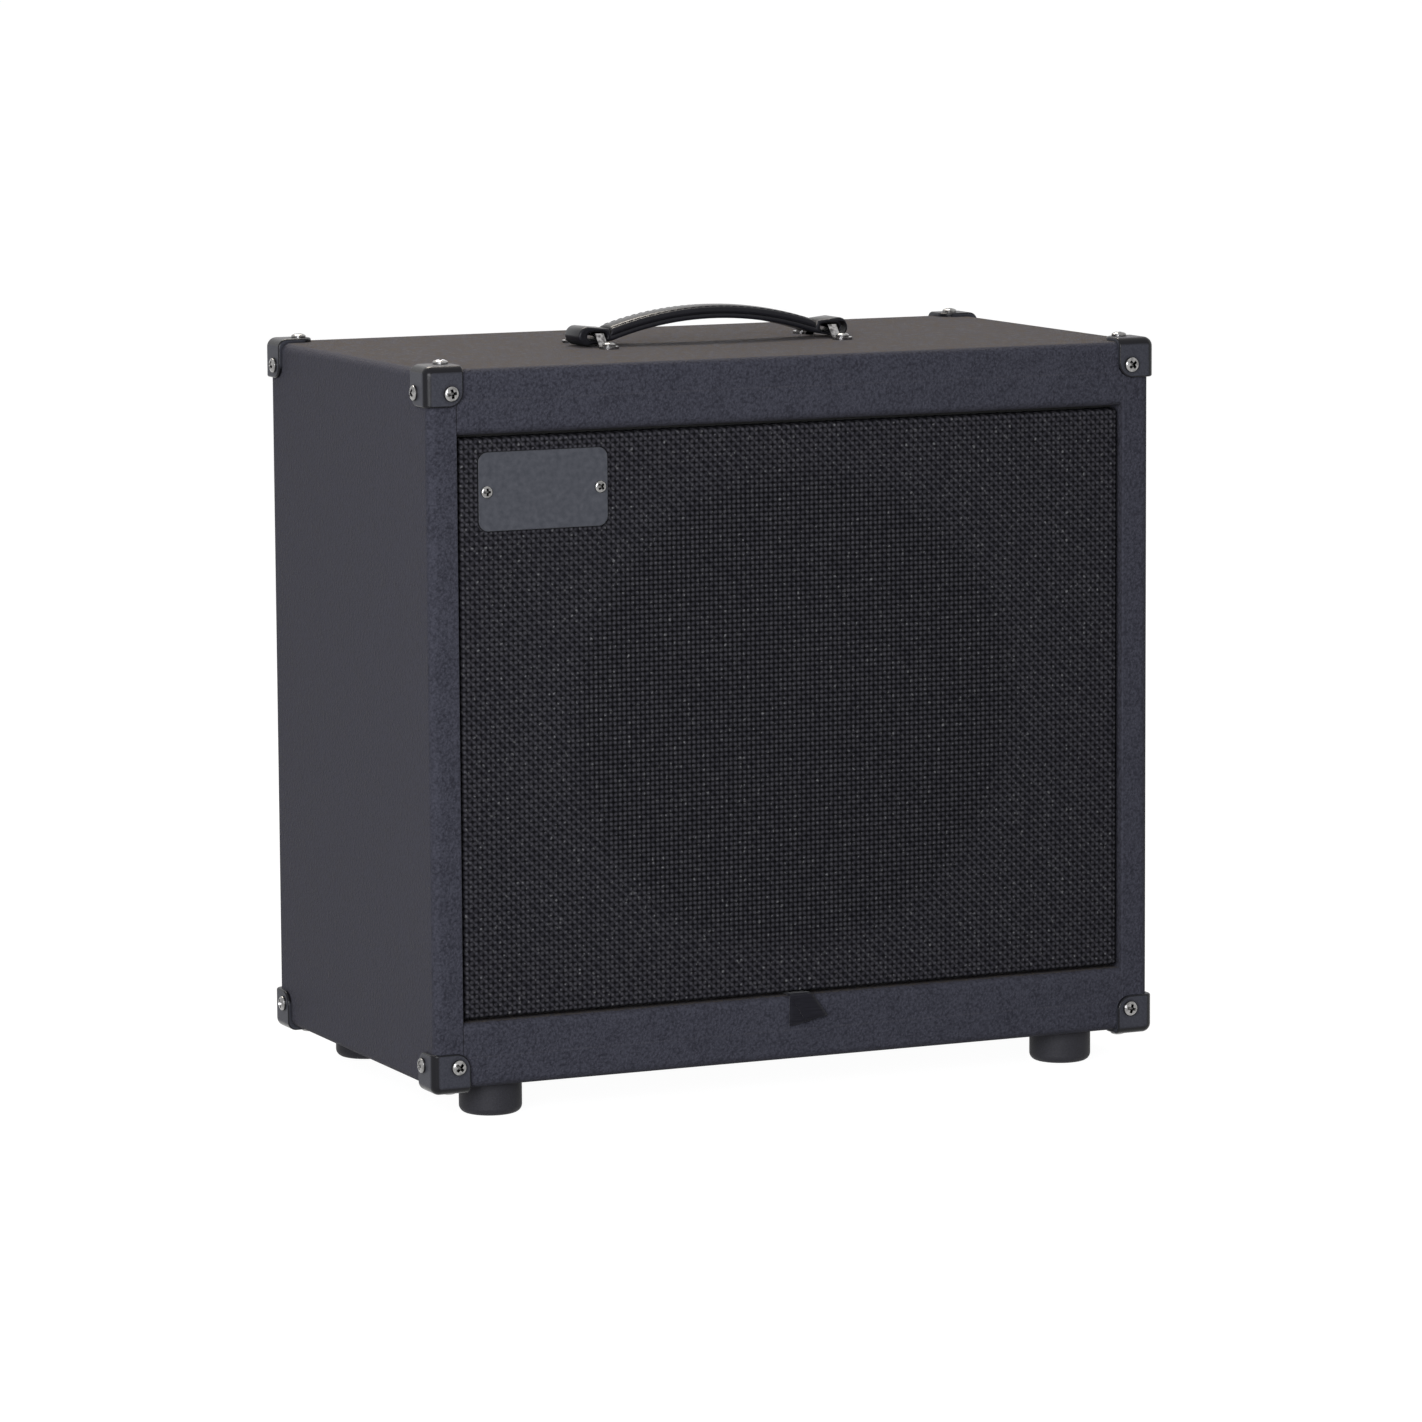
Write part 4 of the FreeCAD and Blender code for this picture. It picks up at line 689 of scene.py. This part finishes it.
CLOTH_EDGE_RADIUS = 2 * MM
CLOTH_HEM = 16 * MM
CLOTH_BEAD_OVER = 0.34 * MM
CLOTH_BEAD_UNDER = 0.1 * MM
CLOTH_RIB = 0.2 * MM
CLOTH_SINK = 0.35 * MM


def wrapped(low, high, pitch, depth):
    """Stations across the cloth, half a pitch apart: place, depth behind the front, and turn."""
    flat = (high - low) / 2 - CLOTH_EDGE_RADIUS
    arc = CLOTH_EDGE_RADIUS * math.pi / 2
    side = depth - CLOTH_EDGE_RADIUS
    steps = int((flat + arc + side + CLOTH_HEM) / (pitch / 2))
    middle = (low + high) / 2
    stations = []
    for step in range(-steps, steps + 1):
        sign = 1 if step >= 0 else -1
        run = abs(step) * pitch / 2
        if run <= flat:
            place, back, turn = run, 0, 0
        elif run <= flat + arc:
            turn = (run - flat) / CLOTH_EDGE_RADIUS
            place = flat + CLOTH_EDGE_RADIUS * math.sin(turn)
            back = CLOTH_EDGE_RADIUS * (1 - math.cos(turn))
        elif run <= flat + arc + side:
            place, back, turn = flat + CLOTH_EDGE_RADIUS, CLOTH_EDGE_RADIUS + run - flat - arc, math.pi / 2
        else:
            place, back, turn = flat + CLOTH_EDGE_RADIUS - (run - flat - arc - side), depth, math.pi
        stations.append((step, middle + sign * place, back, sign * turn))
    return stations


def grille_cloth():
    low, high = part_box("grille_cloth")
    depth = high.y - low.y
    columns = wrapped(low.x, high.x, WEAVE_PITCH[0], depth)
    rows = wrapped(low.z, high.z, WEAVE_PITCH[1], depth)
    points = []
    for row, z, back_z, turn_z in rows:
        for column, x, back_x, turn_x in columns:
            outward = Vector((math.sin(turn_x), -math.cos(turn_x) * math.cos(turn_z), math.sin(turn_z)))
            if row % 2 and column % 2:
                rise = CLOTH_BEAD_OVER if (row // 2 + column // 2) % 2 else -CLOTH_BEAD_UNDER
            elif row % 2 or column % 2:
                rise = 0
            else:
                rise = -CLOTH_RIB if (row // 2 + column // 2) % 2 else -CLOTH_BEAD_OVER
            y = low.y + CLOTH_SINK + min(back_x + back_z, depth - CLOTH_SINK)
            points.append(Vector((x, y, z)) + outward * rise)
    mesh = mesh_of("grille_cloth_woven", points, grid_faces(len(columns), len(rows)))
    item = piece("grille_cloth_woven", mesh, "grille_weave", "grille", ["grille_cloth"])


grille_cloth()


# Handle strap: the strap's own outline with rounded edges

STRAP_ROUNDING = 1.2 * MM
STRAP_ROUNDING_STEPS = 3

strap_low, strap_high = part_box("handle_strap")


def side_outlines(name):
    """The loops of points round a node's flat front side."""
    shape = welded(name)
    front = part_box(name)[0].y
    flat = [face for face in shape.faces if all(abs(corner.co.y - front) < WELD for corner in face.verts)]
    rim = dict.fromkeys(
        edge for face in flat for edge in face.edges
        if sum(neighbour in flat for neighbour in edge.link_faces) == 1
    )
    loops = []
    while rim:
        edge = next(iter(rim))
        del rim[edge]
        start, corner = edge.verts
        loop = [start.co.copy()]
        while corner is not start:
            loop.append(corner.co.copy())
            edge = next(other for other in corner.link_edges if other in rim)
            del rim[edge]
            corner = edge.other_vert(corner)
        loops.append(loop)
    shape.free()
    return loops


def handle_strap():
    outline = bpy.data.curves.new("handle_strap_outline", "CURVE")
    outline.dimensions = "2D"
    outline.fill_mode = "BOTH"
    outline.bevel_depth = STRAP_ROUNDING
    outline.bevel_resolution = STRAP_ROUNDING_STEPS
    outline.offset = -STRAP_ROUNDING
    outline.extrude = (strap_high.y - strap_low.y) / 2 - STRAP_ROUNDING
    for loop in side_outlines("handle_strap"):
        spline = outline.splines.new("POLY")
        spline.points.add(len(loop) - 1)
        spline.use_cyclic_u = True
        for point, corner in zip(spline.points, loop):
            point.co = (corner.x, corner.z, 0, 1)
    item = bpy.data.objects.new("handle_strap_outline", outline)
    bpy.context.scene.collection.objects.link(item)
    mesh = bpy.data.meshes.new_from_object(item.evaluated_get(bpy.context.evaluated_depsgraph_get()))
    bpy.data.objects.remove(item)
    upright = Matrix.Rotation(math.pi / 2, 4, "X")
    mesh.transform(Matrix.Translation((0, (strap_low.y + strap_high.y) / 2, 0)) @ upright)
    piece("handle_strap_hide", mesh, "handle_hide", "handle", ["handle_strap"])


handle_strap()


# Handle grip: padded, with a seam pulled in by its stitches along both sides

# The arch and the strap's thickness are those of the part's source, because the frame gives neither.

ARCH_RADIUS = 207 * MM
STRAP_THICKNESS = 3 * MM
GRIP_STATIONS = 236
GRIP_END = 4 * MM
GRIP_END_HEIGHT_SHARE = 0.08
GRIP_INSET = 0.5 * MM
GRIP_SHOULDER = 4 * MM
GRIP_SIDE_INSETS = (0.55 * MM, 0.12 * MM, 0, 0.1 * MM, 0.4 * MM, 0.95 * MM)
GRIP_SIDE_HEIGHT_SHARES = (0, 0.1125, 0.35, 0.62, 0.84, 0.97)
CROWN_STEP = 0.2 * MM
CROWN_SHARES = (0.85, 0.7, 0.5, 0.25, 0)
CROWN_POWER = 2.2
SEAM_HALF_WIDTH = 0.55 * MM
SEAM_LIP = 0.1 * MM
SEAM_LIP_DIP_SHARE = 0.3
STITCH_PITCH = 4.5 * MM
STITCH_INSET = 2.2 * MM
STITCH_DIP = 0.45 * MM
STITCH_LEAST_DIP_SHARE = 0.35
STITCH_LENGTH_SHARE = 0.7
STITCH_RADIUS = 0.45 * MM
STITCH_SIDES = 6
STITCH_ALONG_SHARES = (0, 0.12, 0.5, 0.88, 1)
STITCH_SWELL_SHARES = (0.3, 0.85, 1.05, 0.85, 0.3)

grip_low, grip_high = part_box("handle_grip")
strap_top_radius = ARCH_RADIUS + STRAP_THICKNESS
arch_height = strap_high.z - strap_top_radius
grip_crown = grip_high.z - strap_high.z
grip_half_angle = math.asin(grip_high.x / (strap_top_radius + grip_crown))
grip_half_width = (grip_high.y - grip_low.y) / 2 - GRIP_INSET
grip_length = 2 * grip_half_angle * strap_top_radius
seam_place = grip_half_width - STITCH_INSET


def on_arch(angle, across, height):
    radius = strap_top_radius + height
    return Vector((radius * math.sin(angle), across, arch_height + radius * math.cos(angle)))


def grip_section(run):
    """Half of the grip's outline, from its lower edge to its crown, at a distance along it."""
    pull = (1 + math.cos(2 * math.pi * run / STITCH_PITCH)) / 2
    dip = STITCH_DIP * (STITCH_LEAST_DIP_SHARE + (1 - STITCH_LEAST_DIP_SHARE) * pull)
    lip_dip = dip * SEAM_LIP_DIP_SHARE
    outline = [
        (grip_half_width - inset, GRIP_SHOULDER * share)
        for inset, share in zip(GRIP_SIDE_INSETS, GRIP_SIDE_HEIGHT_SHARES)
    ]
    outline.append((seam_place + SEAM_HALF_WIDTH, GRIP_SHOULDER - lip_dip))
    outline.append((seam_place, GRIP_SHOULDER - dip))
    outline.append((seam_place - SEAM_HALF_WIDTH, GRIP_SHOULDER + SEAM_LIP - lip_dip))
    crown_foot = GRIP_SHOULDER + CROWN_STEP
    for share in CROWN_SHARES:
        height = crown_foot + (grip_crown - crown_foot) * (1 - share ** CROWN_POWER)
        outline.append((seam_place * share, height))
    return outline


def handle_grip():
    points = []
    for station in range(GRIP_STATIONS + 1):
        run = grip_length * station / GRIP_STATIONS
        angle = run / strap_top_radius - grip_half_angle
        inward = min(1, min(run, grip_length - run) / GRIP_END)
        swell = GRIP_END_HEIGHT_SHARE + (1 - GRIP_END_HEIGHT_SHARE) * math.sqrt(1 - (1 - inward) ** 2)
        half = grip_section(run)
        section = half + [(-y, height) for y, height in reversed(half[:-1])]
        points.extend(on_arch(angle, y, height * swell) for y, height in section)
    across = len(points) // (GRIP_STATIONS + 1)
    faces = grid_faces(across, GRIP_STATIONS + 1, ring=True)
    faces.append(tuple(range(across)))
    faces.append(tuple(reversed(range(len(points) - across, len(points)))))
    mesh = mesh_of("handle_grip_hide", points, faces)
    item = piece("handle_grip_hide", mesh, "handle_hide", "handle", ["handle_grip"])


handle_grip()


def stitch(start, end):
    """The points and faces of a short rounded thread from one point to another."""
    axis = (end - start).normalized()
    side = axis.orthogonal().normalized()
    up = axis.cross(side)
    points = []
    for along, swell in zip(STITCH_ALONG_SHARES, STITCH_SWELL_SHARES):
        for k in range(STITCH_SIDES):
            turn = 2 * math.pi * k / STITCH_SIDES
            outward = side * math.cos(turn) + up * math.sin(turn)
            points.append(start.lerp(end, along) + outward * STITCH_RADIUS * swell)
    faces = grid_faces(STITCH_SIDES, len(STITCH_ALONG_SHARES), ring=True)
    faces.append(tuple(reversed(range(STITCH_SIDES))))
    faces.append(tuple(range(len(points) - STITCH_SIDES, len(points))))
    return points, faces


def stitches():
    points = []
    faces = []
    count = int((grip_length - 2 * GRIP_END) / STITCH_PITCH)
    half = STITCH_PITCH * STITCH_LENGTH_SHARE / 2 / strap_top_radius
    height = GRIP_SHOULDER + SEAM_LIP
    for across in (-seam_place, seam_place):
        for k in range(count):
            run = GRIP_END + (2 * k + 1) * STITCH_PITCH / 2
            middle = run / strap_top_radius - grip_half_angle
            start, end = [on_arch(middle + turn, across, height) for turn in (-half, half)]
            made, made_faces = stitch(start, end)
            faces += shifted(made_faces, len(points))
            points += made
    piece("handle_stitches", mesh_of("handle_stitches", points, faces), "ribbon", "handle")


stitches()


# Pull tab: a ribbon fixed behind the grille, with two tails in front of the rail

RIBBON_WIDTH = 14.4 * MM
RIBBON_THICKNESS = 0.6 * MM
RIBBON_COLUMNS = 6
ROOT_DROP_SHARES = (1, 0.75, 0.5, 0.25, 0.08)
ROOT_RUN_SHARES = (0.75, 0.5, 0.25, 0)
FOLD_CUT = 0.4 * MM
FOLD_REACH = 1.6 * MM
LEFT_TAIL = {"lean": -0.3 * MM, "length": 17.3 * MM, "slant": 1.3 * MM, "curl": 0}
RIGHT_TAIL = {"lean": 9.4 * MM, "length": 14.6 * MM, "slant": 1.1 * MM, "curl": 1.2 * MM}
TAIL_BOW = 0.5 * MM
TAIL_STEPS = 12

root_low, root_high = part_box("pull_tab_root")
tab_low, tab_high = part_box("pull_tab")
fold_height = root_low.z + RIBBON_THICKNESS / 2
ribbon_half = RIBBON_WIDTH / 2
ribbon_places = [RIBBON_WIDTH * k / RIBBON_COLUMNS - ribbon_half for k in range(RIBBON_COLUMNS + 1)]


def pull_tab_root():
    """The fixed end: down the back of the grille and forward under it."""
    back = root_high.y - RIBBON_THICKNESS / 2
    path = [(back, fold_height + (root_high.z - fold_height) * share) for share in ROOT_DROP_SHARES]
    path.append((back - FOLD_CUT, fold_height + FOLD_CUT))
    path.append((back - FOLD_REACH, fold_height))
    path += [(root_low.y + (back - root_low.y) * share, fold_height) for share in ROOT_RUN_SHARES]
    rows = [[Vector((x, y, z)) for x in ribbon_places] for y, z in path]
    mesh = mesh_of("pull_tab_root_ribbon", *thickened(rows, RIBBON_THICKNESS))
    piece("pull_tab_root_ribbon", mesh, "ribbon", "grille", ["pull_tab_root"])


def tail_rows(tail, front):
    """Rows of points down a tail that leans, bows forward and curls, with a slanting end."""
    rows = []
    for j in range(TAIL_STEPS + 1):
        share = j / TAIL_STEPS
        row = []
        for x in ribbon_places:
            end = tail["slant"] * x / ribbon_half - tail["length"]
            bow = TAIL_BOW * share * (1 - (x / ribbon_half) ** 2) + tail["curl"] * share ** 2
            row.append(Vector((x + tail["lean"] * share, front - bow, fold_height + end * share)))
        rows.append(row)
    return rows


def pull_tab_tails():
    left, left_faces = thickened(tail_rows(LEFT_TAIL, tab_high.y - RIBBON_THICKNESS), RIBBON_THICKNESS)
    right, right_faces = thickened(tail_rows(RIGHT_TAIL, tab_low.y + RIBBON_THICKNESS / 2), RIBBON_THICKNESS)
    mesh = mesh_of("pull_tab_ribbon", left + right, left_faces + shifted(right_faces, len(left)))
    piece("pull_tab_ribbon", mesh, "ribbon", "pull_tab", ["pull_tab"])


pull_tab_root()
pull_tab_tails()


# Speaker surround and spider: corrugated rings in sectors, between the basket and the cone

FLEX_THICKNESS = 0.8 * MM
SURROUND_SEAT = 12 * MM
SURROUND_WAVES = 2
SURROUND_SECTORS = 16
SPIDER_SEAT = 8 * MM
SPIDER_WAVES = 5
SPIDER_SECTORS = 8
WAVE_STATIONS = 12
SECTOR_STEPS = 6
GLUE_LAP = 4 * MM
GLUE_GAP = 0.6 * MM
SHARP_TURN = math.radians(60)


def spoke(turn):
    return Vector((math.cos(turn), 0, math.sin(turn)))


def flexing_ring(node, seat, inner, waves, sectors, lap):
    """A corrugated ring in sectors, from the basket's seat to the cone, laid along the cone at its inner end
    where a lap is given.
    """
    low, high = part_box(node)
    middle = (low + high) / 2
    outer = (high.x - low.x) / 2
    mouth = outer - seat
    swing = (high.y - low.y - FLEX_THICKNESS) / 2
    count = waves * WAVE_STATIONS
    outline = [(outer, middle.y)]
    for k in range(count + 1):
        share = k / count
        wave = swing * math.sin(2 * math.pi * waves * share)
        outline.append((mouth + (inner - mouth) * share, middle.y - wave))
    outline += lap
    half_sector = math.pi / sectors
    for k in range(sectors):
        turn = 2 * half_sector * k
        rows = []
        for step in range(SECTOR_STEPS + 1):
            angle = turn + half_sector * (1 - 2 * step / SECTOR_STEPS)
            rows.append([Vector((middle.x, y, middle.z)) + spoke(angle) * radius for radius, y in outline])
        name = f"{node}_sector_{k + 1}"
        mesh = mesh_of(name, *thickened(rows, FLEX_THICKNESS))
        item = piece(name, mesh, slot_of[node], None, [node])
        mesh.set_sharp_from_angle(angle=SHARP_TURN)
        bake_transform(item)


cone_low, cone_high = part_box("speaker_cone")
former_low, former_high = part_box("voice_coil_former")
cone_radius = (cone_high.x - cone_low.x) / 2
former_radius = (former_high.x - former_low.x) / 2
cone_slope = (cone_high.y - cone_low.y) / (cone_radius - former_radius)
lap_front = cone_low.y - GLUE_GAP
rim_lap = [(cone_radius, lap_front), (cone_radius - GLUE_LAP, lap_front + GLUE_LAP * cone_slope)]
surround_inner = cone_radius + GLUE_GAP
flexing_ring("speaker_surround", SURROUND_SEAT, surround_inner, SURROUND_WAVES, SURROUND_SECTORS, rim_lap)
flexing_ring("speaker_spider", SPIDER_SEAT, former_radius, SPIDER_WAVES, SPIDER_SECTORS, [])


# Hook-and-loop strips: a rough pile on a flat backing

PILE_STEP = 1.6 * MM
PILE_EDGE_SHARE = 0.7
PILE_UNEVEN_SHARE = 0.45


def pile_strips(node, body, toward_back):
    points = []
    faces = []
    for island in islands(node):
        low, high = corners_of(island)
        columns = round((high.x - low.x) / PILE_STEP)
        rows = round((high.z - low.z) / PILE_STEP)
        tip, backing = (high.y, low.y) if toward_back else (low.y, high.y)
        first = len(points)
        for j in range(rows + 1):
            for i in range(columns + 1):
                edge = i in (0, columns) or j in (0, rows)
                sink = PILE_EDGE_SHARE if edge else rng.uniform(0, PILE_UNEVEN_SHARE)
                x = low.x + (high.x - low.x) * i / columns
                z = low.z + (high.z - low.z) * j / rows
                points.append(Vector((x, tip + (backing - tip) * sink, z)))
        faces += shifted(grid_faces(columns + 1, rows + 1), first)
        rim = [first + k for k in grid_rim(columns + 1, rows + 1)]
        second = len(points)
        points += [Vector((points[k].x, backing, points[k].z)) for k in rim]
        for k, here in enumerate(rim):
            after = (k + 1) % len(rim)
            faces.append((here, rim[after], second + after, second + k))
        faces.append(tuple(range(second, len(points))))
    piece(node + "_pile", mesh_of(node + "_pile", points, faces), "hook_and_loop", body, [node])


pile_strips("grille_loop_strips", "grille", toward_back=True)
pile_strips("baffle_hook_strips", "cabinet", toward_back=False)


# Camera

CAMERA_YAW = math.radians(24.3)
CAMERA_PITCH = math.radians(7.57)
CAMERA_ROLL = math.radians(-0.36)
CAMERA_DISTANCE = 3967 * MM
CAMERA_TARGET = Vector((0.9, 0, 212.6)) * MM
PHOTO_WIDTH_PIXELS = 1422
FOCAL_LENGTH_PIXELS = 6551
SENSOR_WIDTH = 36

scene = bpy.context.scene
scene.view_settings.view_transform = "Standard"

level_reach = math.cos(CAMERA_PITCH)
ahead = Vector((
    math.sin(CAMERA_YAW) * level_reach, math.cos(CAMERA_YAW) * level_reach, -math.sin(CAMERA_PITCH)
))
level = Vector((math.cos(CAMERA_YAW), -math.sin(CAMERA_YAW), 0))
upward = level.cross(ahead)
tilted_right = level * math.cos(CAMERA_ROLL) + upward * math.sin(CAMERA_ROLL)
tilted_up = upward * math.cos(CAMERA_ROLL) - level * math.sin(CAMERA_ROLL)
camera_place = Matrix((tilted_right, tilted_up, -ahead)).transposed().to_4x4()
camera_place.translation = CAMERA_TARGET - ahead * CAMERA_DISTANCE
camera = bpy.data.objects.new("camera", bpy.data.cameras.new("camera"))
camera.data.sensor_width = SENSOR_WIDTH
camera.data.lens = SENSOR_WIDTH * FOCAL_LENGTH_PIXELS / PHOTO_WIDTH_PIXELS
camera.matrix_world = camera_place
scene.collection.objects.link(camera)
scene.camera = camera


# Light: a dim surround that is seen as white, a warm lamp overhead and a cool one at the front left

WORLD_LIGHT = 0.35
WORLD_TINT = (0.96, 0.97, 1.0)
WHITE = (1, 1, 1)
SEEN_RAYS = ("Is Camera Ray", "Is Glossy Ray", "Is Transmission Ray")


def seen_rays(tree):
    """1 for rays that show a thing to the camera, straight, mirrored or through glass, and 0 for the rest."""
    path = tree.nodes.new("ShaderNodeLightPath")
    seen = path.outputs[SEEN_RAYS[0]]
    for ray in SEEN_RAYS[1:]:
        either = tree.nodes.new("ShaderNodeMath")
        either.operation = "MAXIMUM"
        tree.links.new(seen, either.inputs[0])
        tree.links.new(path.outputs[ray], either.inputs[1])
        seen = either.outputs[0]
    return seen


def studio():
    world = bpy.data.worlds.new("studio")
    scene.world = world
    world.use_nodes = True
    tree = world.node_tree
    dim = tree.nodes["Background"]
    dim.inputs["Color"].default_value = (*WORLD_TINT, 1)
    dim.inputs["Strength"].default_value = WORLD_LIGHT
    white = tree.nodes.new("ShaderNodeBackground")
    white.inputs["Color"].default_value = (*WHITE, 1)
    white.inputs["Strength"].default_value = 1
    either = tree.nodes.new("ShaderNodeMixShader")
    for socket, source in enumerate((seen_rays(tree), dim.outputs[0], white.outputs[0])):
        tree.links.new(source, either.inputs[socket])
    tree.links.new(either.outputs[0], tree.nodes["World Output"].inputs["Surface"])


def lamp(name, where, size, power, colour):
    light = bpy.data.lights.new(name, "AREA")
    light.shape = "RECTANGLE"
    light.size, light.size_y = size
    light.energy = power
    light.color = colour
    item = bpy.data.objects.new(name, light)
    item.location = where
    item.rotation_euler = (CAMERA_TARGET - Vector(where)).to_track_quat("-Z", "Y").to_euler()
    scene.collection.objects.link(item)


studio()
lamp("overhead", where=(0.1, 1.5, 2.5), size=(1.2, 0.8), power=62, colour=(1, 0.92, 0.81))
lamp("front_left", where=(-1.8, -2.2, 0.95), size=(1.6, 1.5), power=80, colour=(0.95, 0.96, 1))


# Floor: white where it is seen, with a faint shadow, and dark in the light that it throws back

FLOOR_HALF = 40
FLOOR_TONE = (0.9, 0.9, 0.9)
FLOOR_BOUNCE = (0.12, 0.12, 0.12)
FLOOR_ROUGHNESS = 0.9
FLOOR_SHADOW_SHARE = 0.12
FLOOR_GLOW = 1.1


def floor_look():
    look = Look("pale_floor", FLOOR_TONE, FLOOR_ROUGHNESS)
    bounced = look.node("LightPath").outputs["Is Diffuse Ray"]
    look.give("Base Color", look.mix(bounced, FLOOR_TONE, FLOOR_BOUNCE))
    glow = look.node("Emission", {"Color": (*WHITE, 1), "Strength": FLOOR_GLOW})
    lit = look.calc("MULTIPLY", seen_rays(look.tree), 1 - FLOOR_SHADOW_SHARE)
    both = look.node("MixShader", {0: lit, 1: look.shader.outputs[0], 2: glow.outputs[0]})
    look.link(both.outputs[0], look.tree.nodes["Material Output"].inputs["Surface"])
    return look.material


floor_corners = [(FLOOR_HALF * x, FLOOR_HALF * y, 0) for x, y in ((-1, -1), (1, -1), (1, 1), (-1, 1))]
floor_mesh = mesh_of("floor", floor_corners, [(0, 1, 2, 3)])
floor_mesh.materials.append(floor_look())
floor = bpy.data.objects.new("floor", floor_mesh)
scene.collection.objects.link(floor)
